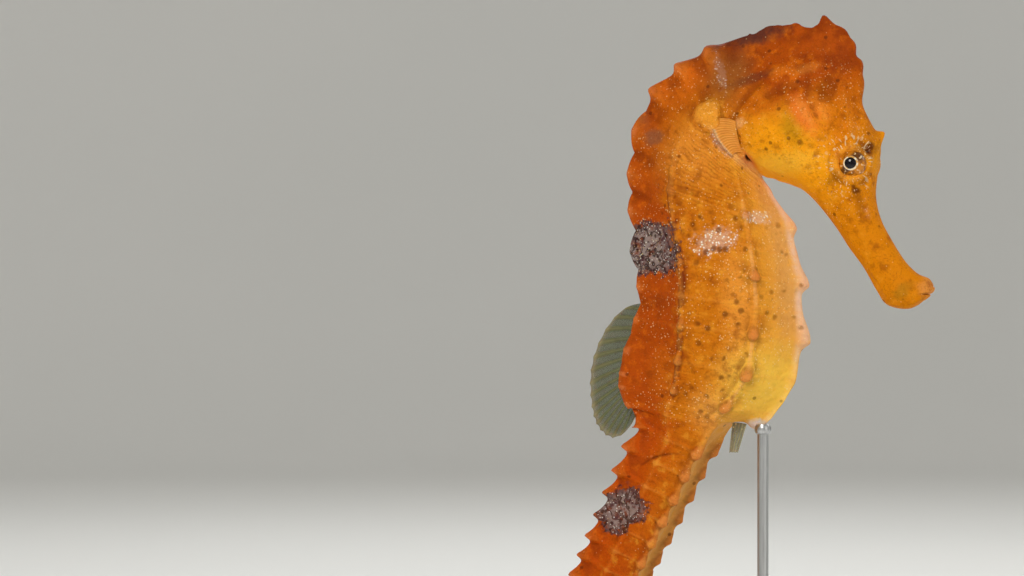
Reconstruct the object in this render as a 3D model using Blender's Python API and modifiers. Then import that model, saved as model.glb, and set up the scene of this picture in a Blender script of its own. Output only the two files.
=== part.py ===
"""A longsnout seahorse, about 150 mm long if its tail were straight, swimming
upright, held by two rods on a flat base.

Metres, +Z up. The animal faces +X and its middle plane is Y = 0, so its left
side is at +Y. The base stands on Z = 0, centred on the origin.

The body is one loft. Its sections are closed curves through eight points: the
back's middle line, the upper, side and lower ridge of the left side, the
belly's middle line, and the same three ridges of the right side. A station is
one section, and the stations are numbered from the mouth to the tip of the
tail: the head's, one for each ring of the trunk, one for each ring of the tail.
"""

import math

import bmesh
import bpy
import numpy as np
from mathutils import Vector

MM = 0.001
GAP = 0.3  # mm, between neighbouring pieces

# ---- driving dimensions, millimetres -------------------------------------

BASE_LENGTH, BASE_WIDTH, BASE_HEIGHT = 74.0, 44.0, 8.0
BASE_CORNER = 12.0
BASE_BEVEL = 1.2
ROD_RADIUS = 0.9
ROD_FOOT_RADIUS, ROD_FOOT_HEIGHT = 2.4, 1.4
FRONT_ROD_X, REAR_ROD_X = 1.6, -15.0

# The head and the trunk, one row for each station: the point on the back's
# middle line, the point on the belly's, then the half widths at the upper,
# side and lower ridge, and how far down the section those ridges lie.
#   name           back x, z        belly x, z      half widths      depths
STATIONS = (
    ("mouth",      (29.2, 87.1), (27.4, 84.9), (1.0, 1.5, 1.0), (0.15, 0.50, 0.85)),
    ("lip",        (28.6, 88.4), (25.3, 83.7), (1.4, 2.0, 1.4), (0.13, 0.50, 0.87)),
    ("flare",      (26.8, 89.2), (22.0, 84.3), (1.6, 2.4, 1.6), (0.13, 0.52, 0.88)),
    ("snout_end",  (24.9, 91.0), (20.3, 86.5), (1.5, 2.1, 1.5), (0.14, 0.50, 0.86)),
    ("snout",      (22.9, 94.0), (18.2, 90.1), (1.5, 2.1, 1.5), (0.14, 0.50, 0.86)),
    ("snout_mid",  (20.9, 97.7), (15.9, 93.2), (1.8, 2.4, 1.7), (0.14, 0.50, 0.86)),
    ("snout_root", (20.0, 101.5), (14.0, 96.1), (2.1, 3.0, 2.1), (0.12, 0.46, 0.86)),
    ("eye",        (20.3, 105.8), (11.7, 99.1), (2.5, 4.3, 2.7), (0.08, 0.34, 0.84)),
    ("brow",       (20.6, 109.9), (9.7, 101.3), (2.4, 4.9, 3.5), (0.08, 0.38, 0.84)),
    ("forehead",   (17.9, 115.8), (8.2, 102.5), (2.0, 5.2, 4.3), (0.11, 0.48, 0.84)),
    ("crown",      (17.6, 120.6), (7.1, 103.0), (1.9, 5.5, 4.7), (0.12, 0.54, 0.84)),
    ("poll",       (15.4, 125.0), (5.8, 103.5), (1.8, 5.9, 5.0), (0.12, 0.58, 0.84)),
    ("nape",       (11.5, 127.6), (4.4, 103.9), (1.6, 6.3, 5.2), (0.12, 0.58, 0.84)),
    ("cheek",      (7.1, 128.5), (3.5, 104.3), (1.4, 6.5, 5.3), (0.13, 0.58, 0.84)),
    ("gill_cover", (1.5, 127.7), (2.3, 104.5), (1.3, 6.6, 5.3), (0.14, 0.58, 0.84)),
    ("gill",       (-2.5, 126.8), (1.6, 104.8), (1.5, 6.4, 5.0), (0.14, 0.58, 0.84)),
    ("ring_1",     (-7.0, 125.2), (1.4, 104.7), (2.5, 6.4, 5.0), (0.05, 0.52, 0.82)),
    ("ring_2",     (-11.4, 122.0), (1.5, 104.3), (3.1, 6.8, 5.2), (0.02, 0.44, 0.80)),
    ("ring_3",     (-15.2, 118.2), (2.6, 102.5), (3.7, 7.2, 5.6), (0.0, 0.38, 0.79)),
    ("ring_4",     (-18.3, 112.1), (4.7, 99.2), (4.1, 7.7, 6.0), (0.0, 0.34, 0.79)),
    ("ring_5",     (-19.3, 105.3), (5.9, 96.3), (4.3, 8.0, 6.3), (0.0, 0.33, 0.79)),
    ("ring_6",     (-19.1, 99.4), (7.0, 91.8), (4.4, 8.2, 6.5), (0.0, 0.33, 0.79)),
    ("ring_7",     (-18.0, 92.9), (7.6, 87.6), (4.5, 8.2, 6.6), (0.0, 0.33, 0.79)),
    ("ring_8",     (-17.6, 87.1), (7.8, 83.0), (4.5, 8.1, 6.6), (0.0, 0.33, 0.79)),
    ("ring_9",     (-18.2, 82.0), (7.7, 78.9), (4.5, 7.8, 6.4), (0.0, 0.34, 0.78)),
    ("ring_10",    (-19.3, 77.0), (7.0, 72.2), (4.4, 7.2, 5.9), (0.0, 0.35, 0.76)),
    ("ring_11",    (-19.7, 73.2), (3.6, 66.3), (4.2, 6.3, 5.1), (0.0, 0.37, 0.72)),
    ("keel_end",   (-19.9, 71.2), (-0.2, 64.7), (4.1, 5.8, 4.7), (0.0, 0.40, 0.76)),
    ("vent",       (-19.5, 68.4), (-4.0, 64.6), (3.9, 5.3, 4.3), (0.0, 0.44, 0.92)),
)
HEAD_STATIONS = 16
TRUNK_RINGS = 11
ROUND_HEAD, ROUND_BODY = 1.0, 0.35  # 1 is a smooth section, 0 one with flat faces

# The tail: from where its middle line starts, straight down and back, then
# rolled forwards in a spiral whose radius shrinks.
TAIL_RINGS = 35
TAIL_START = (-12.8, 62.8)
TAIL_SLANT = math.radians(26.2)
TAIL_STRAIGHT, TAIL_ROLLED = 27.0, 57.0
TAIL_FIRST_RADIUS, TAIL_LAST_RADIUS = 18.0, 5.5
TAIL_RING_RATIO = 0.962  # each ring's length as a part of the one before
TAIL_DEPTH, TAIL_WIDTH = 10.3, 9.4
TAIL_TIP_DEPTH = 1.5
TAIL_FULL_LENGTH = 26.0  # mm of the tail before it tapers to its tip
TAIL_FIRST_TAPER = 0.14  # the part of its size that it loses before that
TAIL_UPPER_WIDTH, TAIL_LOWER_WIDTH = 0.82, 0.86  # at those ridges, as parts of TAIL_WIDTH

# Cuts between the body's nodes: a station of the head, rings of the trunk, and
# rings of the tail
SNOUT_CUT = 6.2
NECK_CUT, CHEST_CUT, WAIST_CUT = 0.5, 3.5, 7.5
TAIL_CUTS = (-0.35, 5.3, 10.3, 16.3, 22.3, 28.3)

# Knobs where a ring crosses a ridge, millimetres high
KNOB_UPPER, KNOB_SIDE, KNOB_LOWER, KNOB_KEEL = 1.5, 0.35, 1.0, 1.8
KNOB_TAIL, KNOB_TAIL_LOWER = 1.5, 0.8
KNOB_REACH = 0.6  # how far round a knob spreads, where a face between ridges is 1
SMALL_KNOB = 0.25  # a knob on a ring between those with large ones
KNOB_START, KNOB_END = 0.15, 0.25  # where in a ring its rise starts and its fall ends
KNOB_CURVE = 2.0
TIP_KNOB = 0.25  # a knob's size at the tail's tip, as a part of the first one's
UPPER_KNOB_RINGS = (1, 2, 3, 4, 5, 6, 7)  # large knobs on the upper ridge
LOWER_KNOB_RINGS = (5, 7, 9, 10, 11)  # on the side and lower ridges
KEEL_KNOB_RINGS = (5, 7, 9)

EYE_RADIUS = 2.25
EYE_PLACE = (17.3, 3.65, 106.3)
# Spines: foot, tip, radius of the foot and of the tip
NOSE_SPINE = ((18.8, 0, 108.6), (21.3, 0, 111.4), 1.7, 0.45)
EYE_SPINE = ((16.6, 3.0, 109.0), (17.0, 5.0, 110.9), 1.6, 0.5)
CORONET_BASE = (13.3, 124.7)
CORONET_HEIGHT = 6.0
CORONET_RADIUS = 3.1
CORONET_LENGTH, CORONET_BREADTH = 1.15, 0.8  # its sections' half axes, in radii
CORONET_LEAN = math.radians(12.0)
CORONET_LOBES = 5
CORONET_STATIONS = (9, 14)  # the head's stations under it
CORONET_SLOPE = 0.45  # how far its top falls for each millimetre forwards
# Levels of the coronet: height and size as parts of the whole, depth of its lobes
CORONET_LEVELS = (
    (-0.5, 1.0, 0.0),
    (0.0, 1.0, 0.0),
    (0.45, 0.9, 0.1),
    (0.75, 0.66, 0.2),
    (0.95, 0.32, 0.2),
    (1.0, 0.12, 0.1),
)
FIN_THICKNESS = 0.5
DORSAL_FIN_RAYS, PECTORAL_FIN_RAYS, ANAL_FIN_RAYS = 17, 15, 4
DORSAL_FIN_RINGS = (8.6, 12.7)  # over the last rings of the trunk, first of the tail
DORSAL_FIN_HEIGHT, ANAL_FIN_HEIGHT = 8.9, 4.2
DORSAL_FIN_SLANTS = (30, -62)  # degrees that the first and the last ray rise
DORSAL_FIN_SPREAD = 0.85  # under 1, the first rays turn down faster than the last
DORSAL_FIN_END = 0.16  # a ray's length at either end, as a part of one further in
DORSAL_FIN_LENGTHS = (0.82, 1.2)  # how much that is less at the first ray, more at the last
ANAL_FIN_SLANTS = (16, 8)  # degrees back from straight down
ANAL_FIN_FOOT = (1.7, 1.15)  # rings ahead of the tail's first
# The pectoral fin: stations and places around of its first and last ray's foot
# and tip, how much further back its middle rays reach, and how far it stands off
PECTORAL_FOOT = ((15.4, 2.15), (16.0, 3.0))
PECTORAL_TIP = ((16.75, 2.12), (17.35, 2.92))
PECTORAL_BULGE = 0.25
PECTORAL_STAND_OFF = (0.75, 1.1)

# ---- colours: red, green, blue, roughness, metallic -----------------------

FINISHES = {
    "skin_orange": (0.62, 0.22, 0.03, 0.45, 0.0),
    "belly_yellow": (0.78, 0.44, 0.10, 0.45, 0.0),
    "fin_membrane": (0.35, 0.38, 0.28, 0.40, 0.0),
    "eye": (0.02, 0.02, 0.03, 0.10, 0.0),
    "base_wood": (0.16, 0.09, 0.05, 0.45, 0.0),
    "rod_steel": (0.62, 0.62, 0.62, 0.30, 1.0),
}


# ---- the scene ------------------------------------------------------------

def clear_scene():
    for obj in list(bpy.data.objects):
        bpy.data.objects.remove(obj, do_unlink=True)


def new_collection(name, hidden=False):
    collection = bpy.data.collections.new(name)
    bpy.context.scene.collection.children.link(collection)
    collection.hide_render = hidden
    return collection


def finish_named(name):
    material = bpy.data.materials.get(name)
    if material is None:
        red, green, blue, roughness, metallic = FINISHES[name]
        material = bpy.data.materials.new(name)
        material.use_nodes = True
        shader = material.node_tree.nodes["Principled BSDF"]
        shader.inputs["Base Color"].default_value = (red, green, blue, 1.0)
        shader.inputs["Roughness"].default_value = roughness
        shader.inputs["Metallic"].default_value = metallic
        material.diffuse_color = (red, green, blue, 1.0)
    return material


def object_from(mesh, name, finish, collection, smooth_angle=math.radians(40)):
    mesh.materials.clear()
    mesh.materials.append(finish_named(finish))
    mesh.shade_smooth()
    mesh.set_sharp_from_angle(angle=smooth_angle)
    obj = bpy.data.objects.new(name, mesh)
    collection.objects.link(obj)
    return obj


def mesh_from_bmesh(shape, name):
    mesh = bpy.data.meshes.new(name)
    shape.to_mesh(mesh)
    shape.free()
    return mesh


def make_cutter(obj):
    obj.hide_render = True
    obj.display_type = "WIRE"


def join_or_cut(obj, other, operation):
    """A Boolean on obj, applied at once, with other removed after it."""
    modifier = obj.modifiers.new("boolean", "BOOLEAN")
    modifier.operation = operation
    modifier.solver = "EXACT"
    modifier.object = other
    bpy.context.view_layer.update()
    graph = bpy.context.evaluated_depsgraph_get()
    mesh = bpy.data.meshes.new_from_object(obj.evaluated_get(graph))
    obj.modifiers.remove(modifier)
    obj.data = mesh
    bpy.data.objects.remove(other, do_unlink=True)


# ---- the body's shape -----------------------------------------------------

def through(values, t):
    """A smooth curve through rows of values, read at t = 0 for the first row."""
    values = np.asarray(values, float)
    t = np.clip(np.asarray(t, float), 0, len(values) - 1)
    i = np.minimum(t.astype(int), len(values) - 2)
    f = (t - i)[..., None]
    before, after = values[np.maximum(i - 1, 0)], values[np.minimum(i + 2, len(values) - 1)]
    start, end = values[i], values[i + 1]
    return 0.5 * (
        2 * start
        + (end - before) * f
        + (2 * before - 5 * start + 4 * end - after) * f**2
        + (3 * start - before - 3 * end + after) * f**3
    )


def tail_middle(length):
    """The point and the direction of the tail's middle line, by its length."""
    step = 0.25
    x, z = TAIL_START
    angle = TAIL_SLANT
    for i in range(round(length / step)):
        rolled = i * step - TAIL_STRAIGHT
        if rolled > 0:
            part = rolled / TAIL_ROLLED
            radius = TAIL_FIRST_RADIUS + (TAIL_LAST_RADIUS - TAIL_FIRST_RADIUS) * part
            angle -= step / radius
        x -= math.sin(angle) * step
        z -= math.cos(angle) * step
    return np.array((x, z)), np.array((-math.sin(angle), -math.cos(angle)))


def tail_size(length):
    """How large the tail is there, as a part of its size where it starts."""
    total = TAIL_STRAIGHT + TAIL_ROLLED
    part = max(0.0, (length - TAIL_FULL_LENGTH) / (total - TAIL_FULL_LENGTH))
    tip = TAIL_TIP_DEPTH / TAIL_DEPTH
    return (1 - TAIL_FIRST_TAPER * min(length / TAIL_FULL_LENGTH, 1)) * (1 - part * (1 - tip))


def tail_stations():
    """The rows of the tail's rings, in the same order as STATIONS' numbers."""
    total = TAIL_STRAIGHT + TAIL_ROLLED
    steps = np.cumsum([0] + [TAIL_RING_RATIO**i for i in range(TAIL_RINGS - 1)])
    rows = []
    for length in steps / steps[-1] * total:
        middle, along = tail_middle(length)
        down = np.array((-along[1], along[0]))  # towards the belly
        size = tail_size(length)
        half = 0.5 * TAIL_DEPTH * size
        wide = 0.5 * TAIL_WIDTH * size
        widths = (TAIL_UPPER_WIDTH * wide, wide, TAIL_LOWER_WIDTH * wide)
        rows.append((middle - down * half, middle + down * half, widths, (0.0, 0.5, 1.0)))
    return rows


def all_stations():
    rows = [row[1:] for row in STATIONS] + tail_stations()
    return [np.array([np.ravel(row[i]) for row in rows]) for i in range(4)]


BACK, BELLY, HALF_WIDTHS, DEPTHS = all_stations()
FIRST_RING = HEAD_STATIONS - 1  # ring n of the trunk is station FIRST_RING + n
TAIL_FIRST = len(STATIONS)  # the tail's first ring
LAST = len(BACK) - 1


def knob_size(station, large_rings):
    """How much of its full height a knob has at the whole-numbered station."""
    ring = station - FIRST_RING
    size = np.where(np.isin(ring, large_rings), 1.0, SMALL_KNOB)
    size = np.where((ring <= 0) | (ring > TRUNK_RINGS), 0.0, size)
    part = np.clip((LAST - station) / TAIL_RINGS, 0, 1)
    return np.where(station >= TAIL_FIRST, TIP_KNOB + (1 - TIP_KNOB) * part, size)


def knob_shape(t, large_rings):
    """Knobs along a ridge: a slow rise to each ring, then a short fall."""
    behind = np.floor(t)
    phase = t - behind
    fall = np.clip(1 - phase / KNOB_END, 0, 1)
    rise = np.clip((phase - KNOB_START) / (1 - KNOB_START), 0, 1) ** KNOB_CURVE
    return np.maximum(fall * knob_size(behind, large_rings), rise * knob_size(behind + 1, large_rings))


def knob_heights(t):
    """Height of the knobs at t, on the upper, side and lower ridge and the keel."""
    tail = t > TAIL_FIRST - 0.9
    upper = knob_shape(t, UPPER_KNOB_RINGS)
    lower = knob_shape(t, LOWER_KNOB_RINGS)
    keel = knob_shape(t, KEEL_KNOB_RINGS)
    return (
        np.where(tail, KNOB_TAIL, KNOB_UPPER) * upper,
        np.where(tail, 0.0, KNOB_SIDE) * lower,
        np.where(tail, KNOB_TAIL_LOWER, KNOB_LOWER) * lower,
        np.where(tail, 0.0, KNOB_KEEL) * keel,
    )


def section_points(t):
    """The eight points of each section: (depth, half width) pairs, one row a t."""
    width = through(HALF_WIDTHS, t)
    depth = through(DEPTHS, t)
    zero, one = np.zeros(len(t)), np.ones(len(t))
    left = [(zero, zero)] + [(depth[:, i], width[:, i]) for i in range(3)] + [(one, zero)]
    right = [(depth[:, i], -width[:, i]) for i in (2, 1, 0)]
    return np.array(left + right).transpose(2, 0, 1)


def body_surface(t, around):
    """Points of the body at stations t and places around, 0 to 8, as (t, around, 3)."""
    t = np.asarray(t, float)
    around = np.asarray(around, float) % 8
    points = section_points(t)
    i = around.astype(int)
    f = (around - i)[None, :, None]
    before, start, end, after = (points[:, (i + k) % 8] for k in (-1, 0, 1, 2))
    straight = start + (end - start) * f
    curved = straight + 0.5 * (
        (end - before) * f
        + (2 * before - 5 * start + 4 * end - after) * f**2
        + (3 * start - before - 3 * end + after) * f**3
        - 2 * (end - start) * f
    )
    head = np.clip(FIRST_RING + 1 - t, 0, 1)[:, None, None]
    roundness = ROUND_BODY + (ROUND_HEAD - ROUND_BODY) * head
    flat = straight + (curved - straight) * roundness
    back, belly = through(BACK, t), through(BELLY, t)
    down = belly - back
    tall = np.linalg.norm(down, axis=1)
    # In each section, u runs from the back to the belly and v to the left, in mm.
    u = flat[..., 0] * tall[:, None]
    v = flat[..., 1]
    lift = knob_lift(t, around)
    centre = 0.5 * tall[:, None]
    reach = np.hypot(u - centre, v)
    u = u + lift * (u - centre) / reach
    v = v + lift * v / reach
    unit = down / tall[:, None]
    x = back[:, :1] + unit[:, :1] * u
    z = back[:, 1:] + unit[:, 1:] * u
    return np.stack((x, v, z), axis=-1)


def knob_lift(t, around):
    """How far a knob lifts the surface, as (t, around). Knobs sit on the ridges."""
    upper, side, lower, keel = knob_heights(t)
    lift = np.zeros((len(t), len(around)))
    ridges = ((1, upper), (2, side), (3, lower), (4, keel), (5, lower), (6, side), (7, upper))
    for place, height in ridges:
        near = np.clip(1 - np.abs(around - place) / KNOB_REACH, 0, 1)
        lift += height[:, None] * near[None, :]
    return lift


def section_plane(t):
    """The middle of the section at t, and the direction along the body there."""
    back, belly = through(BACK, [t])[0], through(BELLY, [t])[0]
    down = (belly - back) / np.linalg.norm(belly - back)
    middle = 0.5 * (back + belly)
    # Turned a quarter from back-to-belly, this points from the mouth to the tail.
    along = Vector((down[1], 0, -down[0]))
    return Vector((middle[0], 0, middle[1])), along


# ---- pieces of the body ---------------------------------------------------

def join_rows(shape, rows):
    """Skins rows of points that each go round once, and closes both ends."""
    for first, second in zip(rows, rows[1:]):
        for i, point in enumerate(first):
            j = (i + 1) % len(first)
            shape.faces.new((point, first[j], second[j], second[i]))
    shape.faces.new(rows[0])
    shape.faces.new(rows[-1])
    bmesh.ops.recalc_face_normals(shape, faces=shape.faces)


def stations_between(start, end, per_ring):
    """Stations from start to end, with the same steps in each ring."""
    steps = {2: (0, 0.3), 3: (0, 0.25, 0.65), 4: (0, 0.25, 0.5, 0.8)}[per_ring]
    inner = [i + s for i in range(int(start), int(end) + 1) for s in steps]
    inner = [t for t in inner if start + 0.12 < t < end - 0.12]
    return np.array([start] + inner + [end])


def loft(start, end, per_ring, per_side):
    """A closed bmesh of the body from station start to station end."""
    t = stations_between(start, end, per_ring)
    around = np.arange(8 * per_side) / per_side
    grid = body_surface(t, around) * MM
    shape = bmesh.new()
    join_rows(shape, [[shape.verts.new(point) for point in row] for row in grid])
    return shape


def trim(shape, place, outwards):
    """Cuts off what lies beyond the plane at place and closes the cut."""
    cut = bmesh.ops.bisect_plane(
        shape,
        geom=shape.verts[:] + shape.edges[:] + shape.faces[:],
        plane_co=place,
        plane_no=outwards,
        clear_outer=True,
        dist=1e-7,
    )
    edges = [e for e in cut["geom_cut"] if isinstance(e, bmesh.types.BMEdge) and e.is_boundary]
    bmesh.ops.edgeloop_fill(shape, edges=edges)


def body_piece(name, start, end, per_ring, per_side, finish, collection):
    """One length of the body, parted from its neighbours by a thin plane gap."""
    first, last = start <= 0, end >= LAST
    spare = 0.5
    shape = loft(max(start - spare, 0), min(end + spare, LAST), per_ring, per_side)
    if not first:
        middle, along = section_plane(start)
        trim(shape, (middle + along * GAP / 2) * MM, -along)
    if not last:
        middle, along = section_plane(end)
        trim(shape, (middle - along * GAP / 2) * MM, along)
    bmesh.ops.recalc_face_normals(shape, faces=shape.faces)
    bmesh.ops.triangulate(shape, faces=shape.faces)
    return object_from(mesh_from_bmesh(shape, name), name, finish, collection)


def cone_between(start, end, start_radius, end_radius, sides=8):
    """A closed cone or tapered rod from start to end, in mm."""
    shape = bmesh.new()
    start, end = Vector(start), Vector(end)
    bmesh.ops.create_cone(
        shape,
        cap_ends=True,
        segments=sides,
        radius1=start_radius * MM,
        radius2=end_radius * MM,
        depth=(end - start).length * MM,
    )
    turn = (end - start).to_track_quat("Z", "Y").to_matrix().to_4x4()
    bmesh.ops.transform(shape, matrix=turn, verts=shape.verts)
    bmesh.ops.translate(shape, vec=(start + end) * 0.5 * MM, verts=shape.verts)
    return shape


def add_spines(head, helpers):
    """The short spine on the nose and the one over each eye."""
    foot, tip, wide, narrow = EYE_SPINE
    spines = [NOSE_SPINE]
    for side in (-1, 1):
        sideways = np.array((1, side, 1))
        spines.append((foot * sideways, tip * sideways, wide, narrow))
    for spine in spines:
        mesh = mesh_from_bmesh(cone_between(*spine), "spine")
        obj = object_from(mesh, "spine", "skin_orange", helpers)
        make_cutter(obj)
        join_or_cut(head, obj, "UNION")


def ball(radius, place, name, finish, collection, across=16, down=10):
    shape = bmesh.new()
    bmesh.ops.create_uvsphere(shape, u_segments=across, v_segments=down, radius=radius * MM)
    bmesh.ops.translate(shape, vec=Vector(place) * MM, verts=shape.verts)
    return object_from(mesh_from_bmesh(shape, name), name, finish, collection)


def add_eyes(head, animal, helpers):
    for side, name in ((1, "eye_left"), (-1, "eye_right")):
        place = (EYE_PLACE[0], side * EYE_PLACE[1], EYE_PLACE[2])
        socket = ball(EYE_RADIUS + GAP, place, "socket", "skin_orange", helpers)
        make_cutter(socket)
        join_or_cut(head, socket, "DIFFERENCE")
        ball(EYE_RADIUS, place, name, "eye", animal)


def coronet_mesh():
    """A lobed crown: rounded sections that widen, then close over at the top."""
    count = 4 * CORONET_LOBES
    shape = bmesh.new()
    rows = []
    for height, size, lobe in CORONET_LEVELS:
        row = []
        for i in range(count):
            angle = 2 * math.pi * i / count
            petal = 1 + lobe * math.cos(CORONET_LOBES * angle)
            reach = CORONET_RADIUS * size * petal
            forward = CORONET_LENGTH * reach * math.cos(angle)
            sideways = CORONET_BREADTH * reach * math.sin(angle)
            up = CORONET_HEIGHT * height
            if height > 0:
                up -= CORONET_SLOPE * (forward + CORONET_RADIUS) * height
            lean = up * math.sin(CORONET_LEAN)
            place = (CORONET_BASE[0] + forward - lean, sideways, CORONET_BASE[1] + up)
            row.append(shape.verts.new(Vector(place) * MM))
        rows.append(row)
    join_rows(shape, rows)
    bmesh.ops.triangulate(shape, faces=shape.faces)
    return shape


def head_cutter(helpers):
    """The head's top, grown by the gap, which the coronet is cut with."""
    t = np.linspace(*CORONET_STATIONS, 16)
    around = np.arange(24) / 3
    grid = body_surface(t, around)
    middle = grid.mean(axis=1, keepdims=True)
    away = grid - middle
    grid = middle + away * (1 + GAP / np.linalg.norm(away, axis=-1, keepdims=True))
    shape = bmesh.new()
    join_rows(shape, [[shape.verts.new(point * MM) for point in row] for row in grid])
    cutter = object_from(mesh_from_bmesh(shape, "head_cutter"), "head_cutter", "skin_orange", helpers)
    make_cutter(cutter)
    return cutter


def add_coronet(animal, helpers):
    mesh = mesh_from_bmesh(coronet_mesh(), "coronet")
    coronet = object_from(mesh, "coronet", "skin_orange", animal)
    join_or_cut(coronet, head_cutter(helpers), "DIFFERENCE")


# ---- fins -----------------------------------------------------------------

def fan(sheet, name, collection):
    """A thin fin on a grid of points: one row a ray, from foot to tip."""
    shape = bmesh.new()
    rows = [[shape.verts.new(Vector(point) * MM) for point in row] for row in sheet]
    for first, second in zip(rows, rows[1:]):
        for j in range(len(first) - 1):
            shape.faces.new((first[j], second[j], second[j + 1], first[j + 1]))
    obj = object_from(mesh_from_bmesh(shape, name), name, "fin_membrane", collection)
    solidify = obj.modifiers.new("thickness", "SOLIDIFY")
    solidify.thickness = FIN_THICKNESS * MM
    solidify.offset = 0


def ray_points(foot, tip, steps):
    return [foot + (tip - foot) * j / steps for j in range(steps + 1)]


def between(ends, part):
    return ends[0] + (ends[1] - ends[0]) * part


def add_dorsal_fin(animal):
    """A fan on the back, longest a little past its middle."""
    sheet = []
    for part in np.linspace(0, 1, DORSAL_FIN_RAYS):
        t = FIRST_RING + between(DORSAL_FIN_RINGS, part)
        _, along = section_plane(t)
        out = np.array((along.z, 0, -along.x))  # away from the back
        foot = body_surface([t], [0])[0, 0] + out * (GAP + FIN_THICKNESS / 2)
        round_ends = (1 - abs(2 * part - 1) ** 3) ** 0.6
        reach = DORSAL_FIN_HEIGHT * between((DORSAL_FIN_END, 1), round_ends)
        reach *= between(DORSAL_FIN_LENGTHS, part)
        slant = math.radians(between(DORSAL_FIN_SLANTS, part**DORSAL_FIN_SPREAD))
        ray = np.array((-math.cos(slant), 0, math.sin(slant)))
        sheet.append(ray_points(foot, foot + ray * reach, 4))
    fan(sheet, "dorsal_fin", animal)


def add_anal_fin(animal):
    """A tiny fan behind the vent."""
    sheet = []
    for part in np.linspace(0, 1, ANAL_FIN_RAYS):
        foot = body_surface([TAIL_FIRST - between(ANAL_FIN_FOOT, part)], [4])[0, 0]
        foot = foot - np.array((0, 0, GAP + 0.1))
        slant = math.radians(between(ANAL_FIN_SLANTS, part))
        ray = np.array((-math.sin(slant), 0, -math.cos(slant)))
        sheet.append(ray_points(foot, foot + ray * ANAL_FIN_HEIGHT, 3))
    fan(sheet, "anal_fin", animal)


def add_pectoral_fins(animal):
    """A fan on each side behind the gill, folded back along the body."""
    foot, tip = np.array(PECTORAL_FOOT), np.array(PECTORAL_TIP)
    for side, name in ((1, "pectoral_fin_left"), (-1, "pectoral_fin_right")):
        sheet = []
        for part in np.linspace(0, 1, PECTORAL_FIN_RAYS):
            start = between(foot, part)
            end = between(tip, part)
            end[0] += PECTORAL_BULGE * math.sin(math.pi * part)
            row = []
            for out in np.linspace(0, 1, 5):
                t, around = between((start, end), out)
                x, y, z = body_surface([t], [around])[0, 0]
                row.append((x, side * (y + between(PECTORAL_STAND_OFF, out)), z))
            sheet.append(row)
        fan(sheet, name, animal)


# ---- the stand ------------------------------------------------------------

def add_base(animal):
    """A flat wooden base with round corners and a small bevel."""
    shape = bmesh.new()
    bmesh.ops.create_cube(shape, size=MM)
    bmesh.ops.scale(shape, vec=(BASE_LENGTH, BASE_WIDTH, BASE_HEIGHT), verts=shape.verts)
    bmesh.ops.translate(shape, vec=(0, 0, BASE_HEIGHT / 2 * MM), verts=shape.verts)
    upright = [e for e in shape.edges if abs(e.verts[0].co.z - e.verts[1].co.z) > MM]
    bmesh.ops.bevel(
        shape, geom=upright, offset=BASE_CORNER * MM, segments=8, profile=0.5, affect="EDGES"
    )
    obj = object_from(mesh_from_bmesh(shape, "stand_base"), "stand_base", "base_wood", animal)
    bevel = obj.modifiers.new("edge", "BEVEL")
    bevel.width = BASE_BEVEL * MM
    bevel.segments = 2
    bevel.limit_method = "ANGLE"
    bevel.angle_limit = math.radians(60)


def underside(x, first, last, around):
    """The lowest height, in mm, of the body over a rod's foot, between two stations."""
    t = np.linspace(first, last, 400)
    line = body_surface(t, [around])[:, 0]
    near = np.abs(line[:, 0] - x) < 2 * ROD_RADIUS
    return line[near, 2].min()


def add_rod(name, x, top, animal):
    """An upright rod in a small foot, from the base to just below the body."""
    start = BASE_HEIGHT + GAP
    rod_shape = cone_between((x, 0, start), (x, 0, top), ROD_RADIUS, ROD_RADIUS, 16)
    rod = object_from(mesh_from_bmesh(rod_shape, name), name, "rod_steel", animal)
    foot_top = (x, 0, start + ROD_FOOT_HEIGHT)
    foot_shape = cone_between((x, 0, start), foot_top, ROD_FOOT_RADIUS, 0.8 * ROD_FOOT_RADIUS, 16)
    foot = object_from(mesh_from_bmesh(foot_shape, "foot"), "foot", "rod_steel", animal)
    make_cutter(foot)
    join_or_cut(rod, foot, "UNION")


def add_stand(animal):
    add_base(animal)
    trunk_end = underside(FRONT_ROD_X, FIRST_RING + 9, TAIL_FIRST - 1, 4)
    add_rod("stand_rod_front", FRONT_ROD_X, trunk_end - GAP, animal)
    tail_bend = underside(REAR_ROD_X, TAIL_FIRST + 8, TAIL_FIRST + 24, 0)
    add_rod("stand_rod_rear", REAR_ROD_X, tail_bend - 2 * GAP, animal)


# ---- the whole ------------------------------------------------------------

def add_body(animal, helpers):
    neck, chest, waist = (FIRST_RING + ring for ring in (NECK_CUT, CHEST_CUT, WAIST_CUT))
    cuts = [TAIL_FIRST + ring for ring in TAIL_CUTS] + [LAST]
    body_piece("snout", 0, SNOUT_CUT, 3, 2, "skin_orange", animal)
    head = body_piece("head", SNOUT_CUT, neck, 3, 3, "skin_orange", animal)
    add_spines(head, helpers)
    add_eyes(head, animal, helpers)
    body_piece("neck", neck, chest, 4, 3, "skin_orange", animal)
    body_piece("trunk_upper", chest, waist, 4, 3, "skin_orange", animal)
    body_piece("trunk_lower", waist, cuts[0], 4, 3, "belly_yellow", animal)
    for i, (start, end) in enumerate(zip(cuts, cuts[1:])):
        body_piece(f"tail_{i + 1}", start, end, 3 if i < 2 else 2, 2, "skin_orange", animal)


def main():
    clear_scene()
    animal = new_collection("seahorse")
    helpers = new_collection("cutters", hidden=True)
    add_body(animal, helpers)
    add_coronet(animal, helpers)
    add_dorsal_fin(animal)
    add_anal_fin(animal)
    add_pectoral_fins(animal)
    add_stand(animal)


main()
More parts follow.
